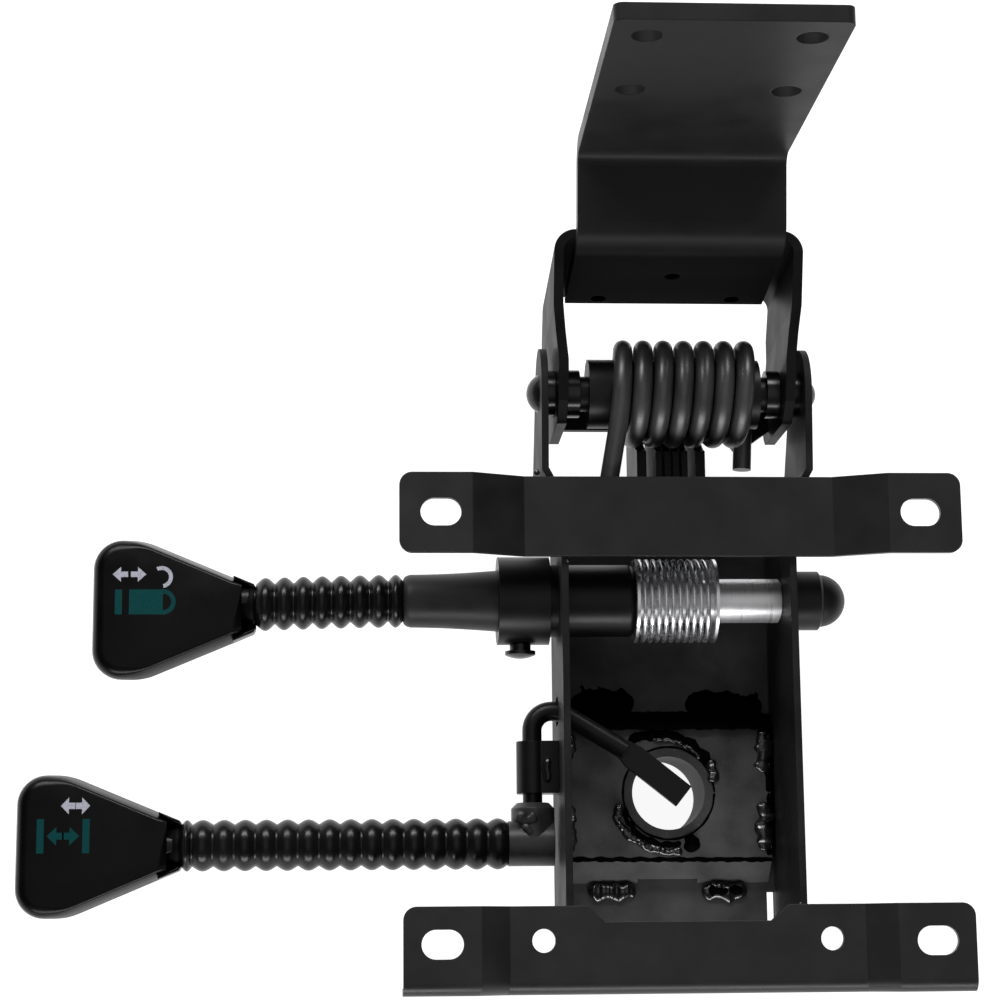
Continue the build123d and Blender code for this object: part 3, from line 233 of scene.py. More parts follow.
# painted shade: the back bar's lowest share, its leg, is nearly black and rough, standing in for
# the shade under the bar
BACK_PAINT = coat("back_paint", 0.015, 0.40, mottle=0.12, gloss=0.11,
                  lower_share=0.27, lower_shading_base=0.0005, lower_rough=0.95)
YOKE_PAINT = coat("yoke_paint", 0.008, 0.44, gloss=0.06)
PLATE_COAT = coat("plate_coat", 0.004, 0.45, mottle=0.5, gloss=0.15)
SPRING_COAT = coat("spring_coat", 0.032, 0.40, edge=0, grain=600.0, gloss=1.0)
PIN_COAT = coat("pin_coat", 0.005, 0.22, edge=0.3, gloss=0.4)
WELD_COAT = coat("weld_coat", 0.008, 0.22, edge=0, grain=1500.0, depth=0.12, gloss=1.0)
# painted shade: a dead black matte coat for welds, creases and gaps that lie in shadow
SHADE_BLACK = coat("painted_shade_coat", 0.0005, 0.80, edge=0, grain=1500.0, depth=0.08, gloss=0.03)
ROD_COAT = coat("rod_coat", 0.003, 0.36, edge=0.3, gloss=0.25)
KNUCKLE_COAT = coat("knuckle_coat", 0.034, 0.40, edge=0.6, mottle=0.6, depth=0.10, gloss=0.4)
BRIGHT_STEEL = bright("bright_steel", 0.88, 0.36, 900.0, (4.0, 0.05, 0.05), metal=0.75)
ZINC_WIRE = bright("zinc_wire", 0.92, 0.27, 300.0, (1, 1, 1), metal=0.92)
BUSH_PLASTIC = moulded("bush_plastic", 0.004, 0.40, gloss=0.25)
CAP_RUBBER = moulded("cap_rubber", 0.006, 0.45, gloss=0.3)
GRIP_RUBBER = moulded("grip_rubber", 0.003, 0.28, gloss=0.3)
# painted shade: the grip rubber made darker and matter for the cuff, which sits in the shade of the
# paddle's neck
SHADED_CUFF_RUBBER = moulded("cuff_rubber_painted_shade", 0.001, 0.60, gloss=0.08)
BOOT_RUBBER = moulded("boot_rubber", 0.012, 0.46, gloss=0.3)
PADDLE_PLASTIC = moulded("paddle_plastic", 0.0014, 0.28, grain=1200.0, gloss=0.16)
TEAL_INK = printed("teal_ink", (0.0006, 0.046, 0.048))
LILAC_INK = printed("lilac_ink", (0.42, 0.42, 0.50))

NODE_MATERIALS = {
    FRAME_PAINT: ("gas_spring_plate",),
    CHANNEL_PAINT: ("chassis_channel",),
    SOCKET_PAINT: ("gas_spring_socket",),
    BAR_PAINT: ("front_mount_bar", "rear_mount_bar"),
    KNUCKLE_COAT: ("lift_knuckle",),
    BACK_PAINT: ("back_bar",),
    YOKE_PAINT: ("back_yoke",),
    PLATE_COAT: ("yoke_cross_plate", "lock_plates"),
    SPRING_COAT: ("tilt_spring",),
    PIN_COAT: ("pivot_pin", "pivot_spacer_left", "pivot_spacer_right", "pivot_collar_left",
               "pivot_collar_right", "back_bar_rivets", "lock_cam_pin"),
    ROD_COAT: ("lift_rod", "lift_lever_rod", "lock_lever_rod", "lock_collar", "lock_sleeve",
               "lift_pivot_sleeve", "lift_sleeve_gusset"),
    BRIGHT_STEEL: ("lock_shaft",),
    ZINC_WIRE: ("lock_spring", "lock_washer_left", "lock_washer_right"),
    BUSH_PLASTIC: ("spring_bush_left", "spring_bush_right"),
    CAP_RUBBER: ("shaft_end_cap",),
    GRIP_RUBBER: ("lock_grip", "lift_grip"),
    BOOT_RUBBER: ("lock_boot",),
    PADDLE_PLASTIC: ("lock_paddle", "lift_paddle"),
}

for node_material, node_names in NODE_MATERIALS.items():
    for node_name in node_names:
        node_slots = nodes[node_name].data.materials
        node_slots.clear()
        node_slots.append(node_material)


# Mesh helpers

LATHE_SIDES = 72


def piece(name, bm, body, material, smooth=True, stands_for=()):
    """A mesh object from bmesh data, riding on a body."""
    bmesh.ops.recalc_face_normals(bm, faces=bm.faces)
    mesh = bpy.data.meshes.new(name)
    bm.to_mesh(mesh)
    bm.free()
    for face in mesh.polygons:
        face.use_smooth = smooth
    obj = bpy.data.objects.new(name, mesh)
    bpy.context.scene.collection.objects.link(obj)
    mesh.materials.append(material)
    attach(obj, body)
    if stands_for:
        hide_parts(*stands_for)
    return obj


def rings(bm, loops):
    """Faces between rings of points, each ring a list of corners, with both ends closed."""
    made = [[bm.verts.new(corner) for corner in loop] for loop in loops]
    count = len(made[0])
    for one, other in zip(made, made[1:]):
        for i in range(count):
            j = (i + 1) % count
            bm.faces.new((one[i], one[j], other[j], other[i]))
    bm.faces.new(made[0][::-1])
    bm.faces.new(made[-1])


def full_turn(steps):
    """Angles round a full turn."""
    return [math.tau * i / steps for i in range(steps)]


def lathe_x(bm, profile, y, z, sag=lambda x: 0.0):
    """A turned body on an axis along X, from (x, radius) stations; sag is the axis's drift in Y."""
    loops = []
    for x, radius in profile:
        middle_y = y + sag(x)
        loops.append([Vector((x, middle_y + radius * math.cos(t), z + radius * math.sin(t)))
                      for t in full_turn(LATHE_SIDES)])
    rings(bm, loops)


# Ribbed grips: round crests, sharp valleys, and a plain ring at each end

RIB_STEPS = 14
CREST_SHARE = 1.1
END_SHARE = 0.8
DRIFT_SHARE = 1.5


def ribbed_grip(node_name, ribs, body, valley, narrow, narrow_share, drift=0.0):
    """A turned grip; the rib with the number narrow is narrower, and the axis drifts in Y."""
    low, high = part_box(node_name)
    centre = (low + high) / 2
    crest = (high.z - low.z) / 2
    widths = [narrow_share if rib == narrow else 1.0 for rib in range(ribs)]
    pitch = (high.x - low.x) / sum(widths)
    profile = [(low.x, valley * END_SHARE), (low.x, valley)]
    x = low.x
    for width in widths:
        for step in range(1, RIB_STEPS + 1):
            swell = 0.0
            if step < RIB_STEPS:
                swell = math.sin(math.pi * step / RIB_STEPS) ** CREST_SHARE
            profile.append((x + pitch * width * step / RIB_STEPS,
                            valley + (crest - valley) * swell))
        x += pitch * width
    profile.append((high.x, valley * END_SHARE))
    bm = bmesh.new()
    lathe_x(bm, profile, centre.y, centre.z,
            lambda x: drift * (max(0.0, high.x - x) / (high.x - low.x)) ** DRIFT_SHARE)
    piece(node_name + "_ribs", bm, body, GRIP_RUBBER, stands_for=(node_name,))


LOCK_GRIP_DRIFT = -1.3 * MM
ribbed_grip("lock_grip", 8, "lock_lever", 7.3 * MM, 7, 0.8, LOCK_GRIP_DRIFT)
ribbed_grip("lift_grip", 16, "lift_lever", 7.4 * MM, 0, 0.5)


# Lock boot: rolled lip at the grip, then a slow flare to the collar

BOOT_LIP = 2.0 * MM
BOOT_LIP_LENGTH = BOOT_LIP * 1.6
BOOT_LEFT_R = 9.6 * MM
LIP_STEPS = 6
FLARE_STEPS = 24
FLARE_POWER = 1.7

boot_low, boot_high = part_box("lock_boot")
boot_middle = (boot_low + boot_high) / 2
boot_right_r = (boot_high.z - boot_low.z) / 2
boot_length = boot_high.x - boot_low.x
boot_profile = [(boot_low.x, BOOT_LEFT_R - BOOT_LIP)]
for step in range(1, LIP_STEPS + 1):
    turn = math.pi / 2 * step / LIP_STEPS
    boot_profile.append((boot_low.x + BOOT_LIP_LENGTH * (1 - math.cos(turn)),
                         BOOT_LEFT_R - BOOT_LIP * (1 - math.sin(turn))))
for step in range(1, FLARE_STEPS + 1):
    share = step / FLARE_STEPS
    boot_profile.append((boot_low.x + BOOT_LIP_LENGTH + (boot_length - BOOT_LIP_LENGTH) * share,
                         BOOT_LEFT_R + (boot_right_r - BOOT_LEFT_R) * share ** FLARE_POWER))
boot_mesh = bmesh.new()
lathe_x(boot_mesh, boot_profile, boot_middle.y, boot_middle.z)
piece("lock_boot_skin", boot_mesh, "lock_lever", BOOT_RUBBER,
      stands_for=("lock_boot",))


# Paddles: drafted flanks up to a raised flat face, a round tip, a lower neck and a soft cuff.
# Lengths are in millimetres from the middle of the neck, with -x to the tip.

PADDLE_LENGTH = 58.3
PADDLE_HALF = 25.2
PADDLE_NECK_HALF = 8.5
PADDLE_SHOULDER = 40.0
PADDLE_TOP = 5.5
TIP_R = 10.5
FLANK_R = 22.0
STEP_BACK = 5.0
OUTLINE_STEP = 2.5
TIP_BLEND_AHEAD = 4.0
TIP_BLEND_LENGTH = 14.0
# (inset from the outline, height) up the side of the shell, on the flanks and round the tip
FLANK_PROFILE = ((3.0, -5.5), (0.9, -5.0), (0.1, -3.8), (0.0, -2.4), (2.1, 4.5), (2.5, 5.2),
                 (3.3, PADDLE_TOP))
TIP_PROFILE = ((3.2, -5.5), (1.0, -4.7), (0.1, -2.8), (0.0, 0.2), (0.9, 3.4), (2.5, 4.9),
               (4.6, PADDLE_TOP))
NECK_DROP = 1.2
NECK_RISE = 0.6
NECK_WALL = 1.3
# x, inset of the half width, inset of the height; the mouth is rounded by the first two
NECK_STATIONS = ((0.0, 0.9, 0.7), (-0.7, 0.0, 0.0), (-STEP_BACK - 3.0, 0.0, 0.0))
NECK_RADII = (0.6, 1.6, 1.6, 0.6, 0.6, 0, 0, 0.6)
NECK_CORNER_STEPS = 5
# x, half width
CUFF_STATIONS = ((-STEP_BACK - 1.0, 5.6), (-3.2, 5.8), (-2.0, 6.8), (-1.0, 6.9), (-0.2, 6.0),
                 (0.6, 5.8))
CUFF_FLAT = 0.84
CUFF_SIDES = 40
NECK_SLOPE = (PADDLE_HALF - PADDLE_NECK_HALF) / PADDLE_SHOULDER
STEP_HALF = PADDLE_NECK_HALF + NECK_SLOPE * STEP_BACK


def filleted(corners, radii, steps=10):
    """Points along a closed polygon whose corners are rounded."""
    points = []
    for i, corner in enumerate(corners):
        before = Vector(corners[i - 1]) - Vector(corner)
        after = Vector(corners[(i + 1) % len(corners)]) - Vector(corner)
        one, two = before.normalized(), after.normalized()
        radius = radii[i]
        if radius == 0:
            points.append(Vector(corner))
            continue
        half = one.angle(two) / 2
        centre = Vector(corner) + (one + two).normalized() * radius / math.sin(half)
        start = Vector(corner) + one * radius / math.tan(half) - centre
        finish = Vector(corner) + two * radius / math.tan(half) - centre
        sweep = start.angle_signed(finish)
        for step in range(steps + 1):
            points.append(centre + Matrix.Rotation(-sweep * step / steps, 2) @ start)
    return points


def subdivided(points, longest):
    """The same outline with long sides split."""
    out = []
    for i, point in enumerate(points):
        after = points[(i + 1) % len(points)]
        parts = max(1, math.ceil((after - point).length / longest))
        out.extend(point.lerp(after, k / parts) for k in range(parts))
    return out


def inward(points):
    """Unit normals to the inside of an outline that runs anticlockwise."""
    out = []
    for i in range(len(points)):
        along = (points[(i + 1) % len(points)] - points[i - 1]).normalized()
        out.append(Vector((-along.y, along.x)))
    return out


def smooth_step(value):
    """From 0 to 1 with soft ends."""
    value = min(1.0, max(0.0, value))
    return value * value * (3 - 2 * value)


def paddle_shell():
    """Rings of the shell, from its underside to its top face."""
    corners = ((-STEP_BACK, STEP_HALF), (-PADDLE_SHOULDER, PADDLE_HALF),
               (-PADDLE_LENGTH, PADDLE_HALF), (-PADDLE_LENGTH, -PADDLE_HALF),
               (-PADDLE_SHOULDER, -PADDLE_HALF), (-STEP_BACK, -STEP_HALF))
    points = subdivided(filleted(corners, (0, FLANK_R, TIP_R, TIP_R, FLANK_R, 0)), OUTLINE_STEP)
    normals = inward(points)
    loops = []
    for (flank_in, flank_z), (tip_in, tip_z) in zip(FLANK_PROFILE, TIP_PROFILE):
        loop = []
        for point, normal in zip(points, normals):
            share = smooth_step((-point.x - PADDLE_SHOULDER + TIP_BLEND_AHEAD) / TIP_BLEND_LENGTH)
            inset = flank_in + (tip_in - flank_in) * share
            height = flank_z + (tip_z - flank_z) * share
            if point.x > -STEP_BACK - 0.01:
                reach = min(abs(point.y), STEP_HALF - inset)
                place = Vector((-STEP_BACK, math.copysign(reach, point.y)))
            else:
                place = point + normal * inset
            loop.append((place.x, place.y, height))
        loops.append(loop)
    return loops


def paddle_neck():
    """Rings of the open trough between the shell and the grip."""
    top = FLANK_PROFILE[-1][1] - NECK_DROP
    bottom = FLANK_PROFILE[0][1] + NECK_RISE
    loops = []
    for x, half_in, z_in in NECK_STATIONS:
        half = PADDLE_NECK_HALF - half_in - x * NECK_SLOPE
        inner = half - NECK_WALL
        low, high = bottom + z_in, top - z_in
        floor_z = low + NECK_WALL - z_in
        corners = ((half, high), (half, low), (-half, low), (-half, high),
                   (-inner, high), (-inner, floor_z), (inner, floor_z), (inner, high))
        loops.append([(x, p.x, p.y) for p in filleted(corners, NECK_RADII, NECK_CORNER_STEPS)])
    return loops


def paddle_cuff(axis_y):
    """Rings of the soft cuff round the rod in the neck."""
    return [[(x, axis_y + half * math.cos(t), half * CUFF_FLAT * math.sin(t))
             for t in full_turn(CUFF_SIDES)] for x, half in CUFF_STATIONS]


def neck_middle(node_name):
    """The middle of a paddle's neck in the frame."""
    low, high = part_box(node_name)
    return Vector((high.x, (low.y + high.y) / 2, (low.z + high.z) / 2))


def paddle(node_name, body, mount, axis_y):
    """The moulded paddle in place of a CAD node; axis_y is the grip's axis at the neck."""
    parts = (("_shell", paddle_shell(), PADDLE_PLASTIC, "paddle_plastic", (node_name,)),
             ("_neck", paddle_neck(), PADDLE_PLASTIC, "paddle_plastic", ()),
             # the cuff takes the grip rubber's darker copy, painted shade
             ("_cuff", paddle_cuff(axis_y), SHADED_CUFF_RUBBER, "grip_rubber", ()))
    for suffix, loops, material, slot, stands_for in parts:
        bm = bmesh.new()
        rings(bm, [[mount + Vector(corner) * MM for corner in loop] for loop in loops])
        piece(node_name + suffix, bm, body, material, stands_for=stands_for)


lock_mount = neck_middle("lock_paddle")
lift_mount = neck_middle("lift_paddle")
lock_axis_y = (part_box("lock_grip")[0].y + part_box("lock_grip")[1].y) / 2 + LOCK_GRIP_DRIFT
paddle("lock_paddle", "lock_lever", lock_mount, (lock_axis_y - lock_mount.y) / MM)
paddle("lift_paddle", "lift_lever", lift_mount, 0.0)


# Pictograms of our own on the paddles: thin ink shapes, in millimetres from the middle of the neck

INK = 0.06
ARROW_BARB = 1.35


def ink(name, outlines, mount, body, material):
    """Thin flat shapes that stand a little above the paddle's top face."""
    bm = bmesh.new()
    for outline in outlines:
        rings(bm, [[mount + Vector((x, y, PADDLE_TOP + level)) * MM for x, y in outline]
                   for level in (-INK, INK / 3)])
    piece(name, bm, body, material, smooth=False)


def bar(x0, y0, x1, y1):
    """A rectangle between two corners."""
    return ((x0, y0), (x1, y0), (x1, y1), (x0, y1))


def arrow(x, y, length, way, width, head):
    """A straight arrow from (x, y) along X; way is 1 or -1."""
    shape = ((0, -width / 2), (length - head, -width / 2), (length - head, -width * ARROW_BARB),
             (length, 0), (length - head, width * ARROW_BARB), (length - head, width / 2),
             (0, width / 2))
    return tuple((x + way * along, y + way * across) for along, across in shape)


def arc_band(x, y, inner, outer, start, finish, steps=12):
    """A band of a ring between two angles in degrees."""
    angles = [math.radians(start + (finish - start) * i / steps) for i in range(steps + 1)]
    out = [(x + outer * math.cos(a), y + outer * math.sin(a)) for a in angles]
    back = [(x + inner * math.cos(a), y + inner * math.sin(a)) for a in reversed(angles)]
    return tuple(out + back)


ink("lock_mark_teal",
    (bar(-45.0, -2.5, -33.0, 6.5), arc_band(-33.0, 2.0, 3.0, 4.6, -90, 90),
     bar(-50.0, -2.5, -47.5, 6.5)),
    lock_mount, "lock_lever", TEAL_INK)
ink("lock_mark_lilac",
    (arrow(-45.5, 12.0, 5.5, -1, 2.0, 3.0), arrow(-44.5, 12.0, 5.5, 1, 2.0, 3.0),
     arc_band(-33.5, 11.0, 2.6, 4.0, -80, 120)),
    lock_mount, "lock_lever", LILAC_INK)
ink("lift_mark_teal",
    (bar(-50.5, -2.6, -48.0, 9.4), bar(-34.5, -2.6, -32.0, 9.4),
     arrow(-41.0, 3.4, 6.0, -1, 2.4, 3.4), arrow(-41.6, 3.4, 6.0, 1, 2.4, 3.4)),
    lift_mount, "lift_lever", TEAL_INK)
ink("lift_mark_lilac",
    (arrow(-37.0, 14.0, 5.2, -1, 2.2, 2.8), arrow(-37.2, 14.0, 5.2, 1, 2.2, 2.8)),
    lift_mount, "lift_lever", LILAC_INK)


# Weld beads: a rippled half-round rope along a path; in the dead black coat the same rope also lays
# painted shade along creases, gaps and slopes that lie in shadow

RANDOM = random.Random(7)
BEAD_SIDES = 16
BEAD_STEP = 0.4
BEAD_LEAST_STATIONS = 8
BEAD_RIPPLE = 1.6
BEAD_TAPER_SHARE = 0.6
BEAD_LEAST_TAPER = 0.02
BEAD_SUNK_SHARE = 0.4
BEAD_JITTER_SHARE = 0.4


def wobble():
    """A slow uneven wave along a bead, between about -1 and 1."""
    waves = [(RANDOM.uniform(1.8, 4.0) * (1 + i), RANDOM.uniform(0, math.tau),
              RANDOM.uniform(0.2, 0.4) * (1 + i)) for i in range(3)]
    return lambda at: sum(size * math.sin(math.tau * at / long + phase)
                          for long, phase, size in waves)


def bead(name, path, width, height, body, material, up=(0, 0, 1), rough=0.05, lobe=0.15):
    """A weld bead along path in millimetres: width across, height above it, with tapered ends.

    rough is the share of its fine ripple, and lobe the share of its slow unevenness.
    """
    up = Vector(up).normalized()
    points = [Vector(p) for p in path]
    lengths = [0.0]
    for one, other in zip(points, points[1:]):
        lengths.append(lengths[-1] + (other - one).length)
    total = lengths[-1]
    stations = max(BEAD_LEAST_STATIONS, int(total / BEAD_STEP))
    left_wave, right_wave, high_wave = wobble(), wobble(), wobble()
    loops = []
    for s in range(stations + 1):
        at = total * s / stations
        leg = next(i for i in range(1, len(lengths)) if at <= lengths[i] + 1e-9)
        share = (at - lengths[leg - 1]) / max(1e-9, lengths[leg] - lengths[leg - 1])
        place = points[leg - 1].lerp(points[leg], share)
        along = (points[leg] - points[leg - 1]).normalized()
        across = along.cross(up).normalized()
        end = min(1.0, min(at, total - at) / (width * BEAD_TAPER_SHARE))
        taper = math.sqrt(max(BEAD_LEAST_TAPER, end * (2 - end)))
        phase = math.tau * at / BEAD_RIPPLE + 0.6 * RANDOM.uniform(-1, 1)
        wave = 1 + rough * 0.6 * math.sin(phase) + lobe * high_wave(at)
        tall = height * taper * wave
        loop = []
        for turn in full_turn(BEAD_SIDES):
            side_wave = right_wave(at) if math.cos(turn) > 0 else left_wave(at)
            uneven = 1 + lobe * side_wave + rough * BEAD_JITTER_SHARE * RANDOM.uniform(-1, 1)
            wide = width / 2 * taper * uneven
            jitter = 1 + rough * BEAD_JITTER_SHARE * RANDOM.uniform(-1, 1)
            lift = math.sin(turn) * (1 if math.sin(turn) > 0 else BEAD_SUNK_SHARE)
            corner = place + across * wide * math.cos(turn) + up * tall * lift * jitter
            loop.append(corner * MM)
        loops.append(loop)
    bm = bmesh.new()
    rings(bm, loops)
    obj = piece(name, bm, body, material)
    smoothing = obj.modifiers.new("smooth", "SUBSURF")
    smoothing.levels = 1
    smoothing.render_levels = 1


plate_low, plate_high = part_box("gas_spring_plate")
TOP = plate_high.z / MM
WEB = plate_low.z / MM
SEAM_R = 16.9
SEAM_STEPS = 60
SEAM = [(SEAM_R * math.cos(math.tau * i / SEAM_STEPS), SEAM_R * math.sin(math.tau * i / SEAM_STEPS))
        for i in range(SEAM_STEPS + 1)]

# name, path in x and y, level, width, height, material, unevenness; beads in the dead black coat
# are painted shade for welds, the front bend's crease and the right edge's gap that lie in shadow
LEVEL_WELDS = (
    ("foot_left", ((-29.6, -35.2), (-20.0, -35.5), (-11.6, -35.3)),
     WEB + 0.4, 7.0, 2.3, WELD_COAT, 0.18),
    ("foot_right", ((12.6, -35.3), (21.0, -35.7), (29.6, -35.5)),
     WEB + 0.4, 7.2, 2.0, WELD_COAT, 0.15),
    ("foot_right_core", ((14.6, -35.2), (21.0, -35.5), (28.2, -35.4)),
     WEB + 0.6, 3.8, 2.5, SHADE_BLACK, 0.20),
    ("rear_left", ((-35.0, 33.6), (-22.0, 34.2), (-11.0, 34.4)), WEB + 0.2, 9.2, 1.5, SHADE_BLACK, 0.16),
    ("rear_left_edge", ((-31.0, 37.6), (-26.0, 38.2), (-15.0, 37.6)),
     WEB + 0.2, 2.6, 1.5, SHADE_BLACK, 0.35),
    ("rear_left_drop_a", ((-30.9, 39.6), (-29.7, 40.2)), WEB + 0.2, 3.2, 1.5, SHADE_BLACK, 0.1),
    ("rear_left_drop_b", ((-24.3, 39.4), (-23.5, 39.8)), WEB + 0.2, 2.6, 1.3, SHADE_BLACK, 0.1),
    ("rear_right", ((8.0, 33.4), (20.0, 34.2), (37.0, 32.4)), WEB + 0.2, 8.2, 1.5, SHADE_BLACK, 0.16),
    ("rear_right_edge", ((11.0, 36.6), (18.0, 37.4), (29.0, 36.0)),
     WEB + 0.2, 2.6, 1.5, SHADE_BLACK, 0.35),
    ("rear_right_drop", ((34.6, 37.0), (35.6, 37.4)), WEB + 0.2, 3.2, 1.6, SHADE_BLACK, 0.1),
    ("edge_right_rear", ((35.4, 23.6), (35.6, 15.0), (35.2, 7.2)),
     TOP - 0.4, 5.8, 2.0, WELD_COAT, 0.28),
    ("edge_right_front", ((35.4, -3.2), (35.0, -12.0), (34.8, -21.4)),
     TOP - 0.4, 6.0, 2.0, WELD_COAT, 0.28),
    ("edge_left_rear", ((-36.2, 22.0), (-36.0, 12.0)), TOP - 0.4, 4.0, 1.5, WELD_COAT, 0.25),
    ("edge_left_front", ((-36.2, -4.0), (-36.0, -21.6)), TOP - 0.4, 4.0, 1.5, WELD_COAT, 0.25),
    # painted shade: a dead black strip in the crease of the front bend
    ("bend_crease_painted_shade", ((-38.0, -23.9), (0.0, -24.2), (38.0, -24.4)), TOP - 0.1, 1.8, 0.35, SHADE_BLACK, 0.22),
    ("socket_seam", SEAM, TOP - 0.1, 0.9, 0.3, SHADE_BLACK, 0.15),
    ("socket_rear",
     ((-14.6, 19.1), (-8.3, 21.3), (0.2, 21.6), (8.3, 18.4), (13.4, 13.6), (16.0, 9.0)),
     TOP - 0.2, 3.8, 1.1, SHADE_BLACK, 0.22),
    ("socket_rear_rim", ((-6.0, 19.6), (1.5, 19.4), (8.0, 16.6), (12.4, 12.4)),
     TOP - 0.2, 1.8, 1.5, WELD_COAT, 0.25),
    ("socket_right", ((15.6, 12.4), (16.8, 8.2), (16.2, 3.6)),
     TOP - 0.2, 4.4, 1.8, WELD_COAT, 0.22),
    ("socket_speck", ((18.0, 7.0), (18.8, 7.3)), TOP - 0.2, 1.8, 1.0, WELD_COAT, 0.1),
    ("socket_front_left",
     ((-17.6, -3.6), (-19.6, -9.4), (-15.4, -15.0), (-9.1, -19.2), (-0.7, -21.7), (4.8, -21.2)),
     TOP - 0.2, 3.2, 1.4, WELD_COAT, 0.2),
    ("socket_front_inner",
     ((-16.4, -5.6), (-15.4, -10.4), (-10.8, -15.6), (-3.0, -18.9), (4.4, -18.4)),
     TOP - 0.2, 2.2, 1.1, SHADE_BLACK, 0.2),
    ("socket_front_lump", ((7.2, -14.8), (8.2, -18.0), (7.0, -21.6)),
     TOP - 0.2, 5.6, 2.0, SHADE_BLACK, 0.2),
    # painted shade: a dead black strip in the gap between the plate and the right wall
    ("edge_right_gap_painted_shade", ((36.6, 27.0), (37.2, 0.0), (36.8, -24.0)), TOP - 1.0, 3.4, 1.4, SHADE_BLACK, 0.2),
)
for weld_name, weld_path, level, wide, tall, weld_material, unevenness in LEVEL_WELDS:
    bead("weld_" + weld_name, [(x, y, level) for x, y in weld_path], wide, tall, "base",
         weld_material, lobe=unevenness)

# painted shade on the plate's rear slope, whose normal is up: a thin dead black sheet where the
# slope lies in shadow
bead("painted_shade_rear_slope", ((-42.0, 27.0, 32.7), (0.0, 26.9, 32.8), (41.0, 27.0, 32.7)), 13.6, 0.4,
     "base", SHADE_BLACK, up=(0, 9.0, 6.4), rough=0.04, lobe=0.05)
# the crescent weld on the lift sleeve's gusset
bead("weld_gusset", ((-46.0, 11.7, 57.0), (-46.6, 7.0, 57.0), (-46.1, 2.5, 57.0)), 3.4, 1.2,
     "base", PIN_COAT, up=(-0.5, 0, 0.9), lobe=0.08)
# tacks where the bars meet the walls, each a short bead along X
TACK_LEVEL = 79.4
TACK_HALF = 1.2
TACK_SKEW = 0.3
for tack_name, x, y in (("ear", -50.4, 111.0), ("wall", -39.9, 79.4), ("corner", 39.6, -41.6)):
    tack_path = ((x - TACK_HALF, y, TACK_LEVEL), (x + TACK_HALF, y + TACK_SKEW, TACK_LEVEL))
    bead("tack_" + tack_name, tack_path, 2.8, 1.4, "base", WELD_COAT)

# the knuckle's cast skin: two ridges over its top, placed from its left rear corner
knuckle_low, knuckle_high = (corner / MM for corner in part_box("lift_knuckle"))
KNUCKLE_SINK = 0.7
KNUCKLE_RIDGES = (("a", ((2.6, -4.0), (6.0, -6.6), (10.4, -5.4)), 4.4, 0.9),
                  ("b", ((5.2, -7.6), (8.6, -12.0)), 3.4, 0.7))
for ridge_name, ridge_path, wide, tall in KNUCKLE_RIDGES:
    bead("knuckle_ridge_" + ridge_name,
         [(knuckle_low.x + x, knuckle_high.y + y, knuckle_high.z - KNUCKLE_SINK)
          for x, y in ridge_path],
         wide, tall, "lift_lever", KNUCKLE_COAT, lobe=0.2)


# Staked rivet heads: four lobes round a sunk middle, on the flat faces of the CAD heads

# share of the radius, height over the flat face
STAKE_PROFILE = ((1.0, -1.3), (0.99, -0.8), (0.88, -0.25), (0.66, -0.02), (0.48, -0.25),
                 (0.32, -0.8), (0.12, -1.0))
STAKE_R = 3.9
STAKE_LOBES = 4
STAKE_LOBE_SHARE = 0.16
STAKE_SIDES = 64
HEAD_SPREAD = 12.0
HEAD_LEAST_AREA = 8.0
FORWARD = -0.2


def flat_heads(obj):
    """Middle and normal of each rivet's flat front: its foremost broad face that looks forward."""
    groups = {}
    turn = obj.matrix_world.to_3x3()
    for face in obj.data.polygons:
        normal = (turn @ face.normal).normalized()
        if normal.y < FORWARD:
            centre = obj.matrix_world @ face.center
            key = (round(centre.x / MM / HEAD_SPREAD), round(normal.x, 2), round(normal.y, 2),
                   round(normal.z, 2))
            area, total, _ = groups.get(key, (0.0, Vector(), normal))
            groups[key] = (area + face.area, total + centre * face.area, normal)
    heads = {}
    for key, (area, total, normal) in groups.items():
        if area < HEAD_LEAST_AREA * MM * MM:
            continue
        reach = (total / area).dot(normal)
        if key[0] not in heads or reach > heads[key[0]][0]:
            heads[key[0]] = (reach, total / area, normal)
    return [(centre, normal) for _, centre, normal in heads.values()]


def staked_heads(node_name, body):
    """Lobed heads with a sunk middle over the flat heads of a node of rivets."""
    for number, (centre, normal) in enumerate(flat_heads(nodes[node_name])):
        side = Vector((1, 0, 0))
        other = normal.cross(side).normalized()
        loops = []
        for share, height in STAKE_PROFILE:
            loop = []
            for turn in full_turn(STAKE_SIDES):
                lobes = STAKE_LOBE_SHARE * math.cos(STAKE_LOBES * turn) * share
                reach = STAKE_R * share * (1 - STAKE_LOBE_SHARE + lobes)
                across = side * math.cos(turn) + other * math.sin(turn)
                loop.append(centre + across * reach * MM + normal * height * MM)
            loops.append(loop)
        bm = bmesh.new()
        rings(bm, loops)
        stands_for = (node_name,) if number == 0 else ()
        piece(f"{node_name}_stake_{number}", bm, body, WELD_COAT,
              stands_for=stands_for)


staked_heads("back_bar_rivets", "back")


# Floor

FLOOR_HALF = 6.0
FLOOR_LEVELS = (-0.02, -0.0005)
FLOOR_GLOW = 0.92

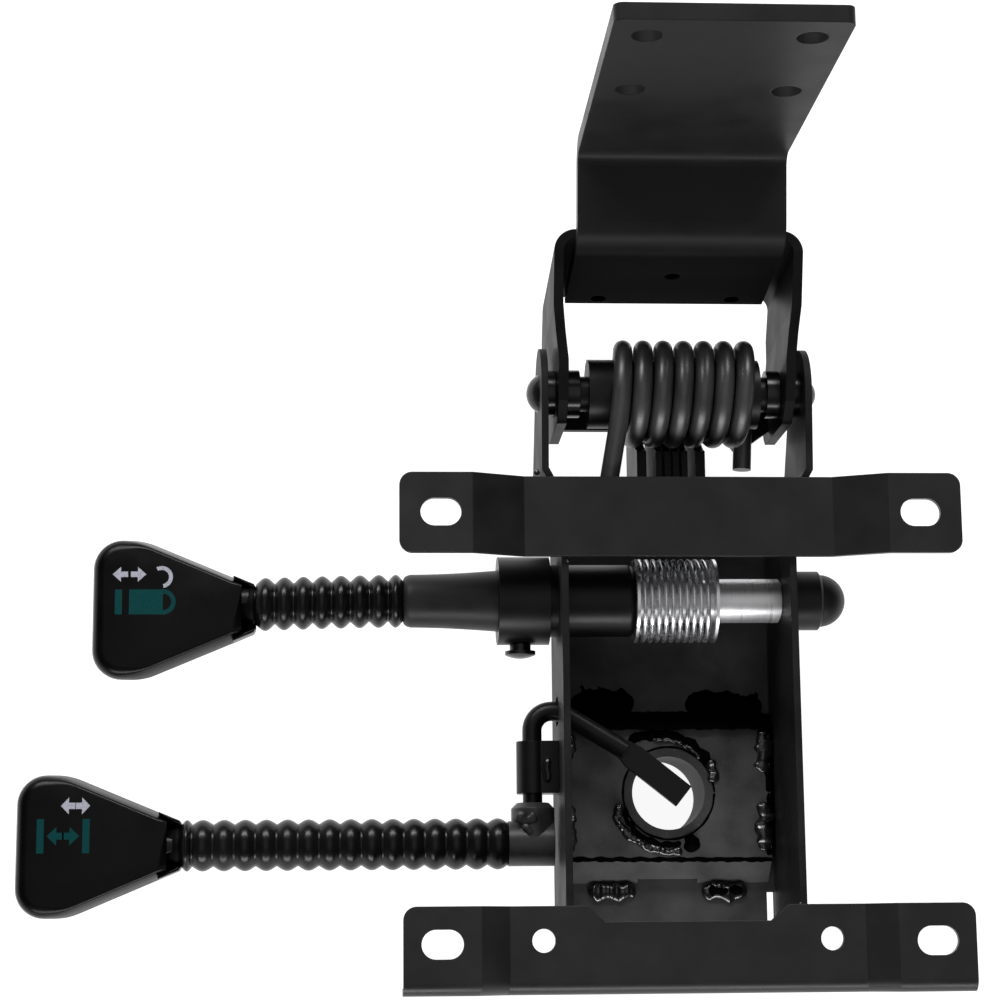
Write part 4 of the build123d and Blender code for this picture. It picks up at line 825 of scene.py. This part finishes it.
floor_corners = bar(-FLOOR_HALF, -FLOOR_HALF, FLOOR_HALF, FLOOR_HALF)
floor_mesh = bmesh.new()
rings(floor_mesh, [[Vector((x, y, z)) for x, y in floor_corners] for z in FLOOR_LEVELS])
floor_data = bpy.data.meshes.new("studio_floor")
floor_mesh.to_mesh(floor_data)
floor_mesh.free()
floor = bpy.data.objects.new("studio_floor", floor_data)
bpy.context.scene.collection.objects.link(floor)
floor_material, floor_tree, floor_shader = tree_of("studio_floor")
floor_tree.links.new(ramp(floor_tree, noise(floor_tree, 3.0), grey(0.34), grey(0.36)),
                     floor_shader.inputs["Base Color"])
floor_shader.inputs["Emission Color"].default_value = (1.0, 1.0, 1.0, 1.0)
floor_shader.inputs["Emission Strength"].default_value = FLOOR_GLOW
floor_shader.inputs["Roughness"].default_value = 0.9
floor_shader.inputs["Specular IOR Level"].default_value = 0.0
floor_data.materials.append(floor_material)


# World: a grey sky that is darkest at middle height and brightest overhead

# height of the direction, level of grey
SKY_STOPS = ((0.05, 0.25), (0.55, 0.03), (0.85, 0.14), (0.97, 0.50))

world = bpy.data.worlds.new("studio")
bpy.context.scene.world = world
world.use_nodes = True
sky = world.node_tree
sky_place = sky.nodes.new("ShaderNodeTexCoord")
sky_split = sky.nodes.new("ShaderNodeSeparateXYZ")
sky_fade = sky.nodes.new("ShaderNodeValToRGB")
for _ in SKY_STOPS[2:]:
    sky_fade.color_ramp.elements.new(0.9)
# all places come before the colours, because the ramp sorts its stops when one moves
for element, (height, _) in zip(sky_fade.color_ramp.elements, SKY_STOPS):
    element.position = height
for element, (_, level) in zip(sky_fade.color_ramp.elements, SKY_STOPS):
    element.color = (level, level, level, 1.0)
sky.links.new(sky_place.outputs["Generated"], sky_split.inputs["Vector"])
sky.links.new(sky_split.outputs["Z"], sky_fade.inputs["Fac"])
sky.links.new(sky_fade.outputs["Color"], sky.nodes["Background"].inputs["Color"])
sky.nodes["Background"].inputs["Strength"].default_value = 1.0


# Two wide softboxes that look at the middle of the mechanism, in metres and watts

SOFTBOX_SIZE = (1.6, 0.35)
SOFTBOX_TARGET = Vector((0, 0, 0.05))
SOFTBOXES = (("softbox_rear", (-0.1, 1.15, 0.92), 22.0),
             ("softbox_front", (-0.1, -1.25, 0.52), 15.0))

for light_name, place, watts in SOFTBOXES:
    light_data = bpy.data.lights.new(light_name, "AREA")
    light_data.shape = "RECTANGLE"
    light_data.size, light_data.size_y = SOFTBOX_SIZE
    light_data.energy = watts
    light = bpy.data.objects.new(light_name, light_data)
    light.location = place
    towards = SOFTBOX_TARGET - Vector(place)
    light.rotation_euler = towards.to_track_quat("-Z", "Y").to_euler()
    bpy.context.scene.collection.objects.link(light)


# Camera at the photograph's place; its turns about x, y and z lead from the frame to the camera

LENS_MM = 86.643
SENSOR_MM = 36.0
CLIP_START = 0.01
CAMERA_PLACE = (-0.112967, -0.056232, 0.919858)
CAMERA_TURN = (-0.1852422, 0.0576815, -0.0018502)

camera_data = bpy.data.cameras.new("camera")
camera_data.lens = LENS_MM
camera_data.sensor_width = SENSOR_MM
camera_data.clip_start = CLIP_START
camera = bpy.data.objects.new("camera", camera_data)
turn_x, turn_y, turn_z = (Matrix.Rotation(angle, 3, axis)
                          for angle, axis in zip(CAMERA_TURN, "XYZ"))
to_camera = turn_z @ turn_y @ turn_x
camera.matrix_world = Matrix.Translation(CAMERA_PLACE) @ to_camera.transposed().to_4x4()
bpy.context.scene.collection.objects.link(camera)
bpy.context.scene.camera = camera
bpy.context.scene.view_settings.view_transform = "Standard"
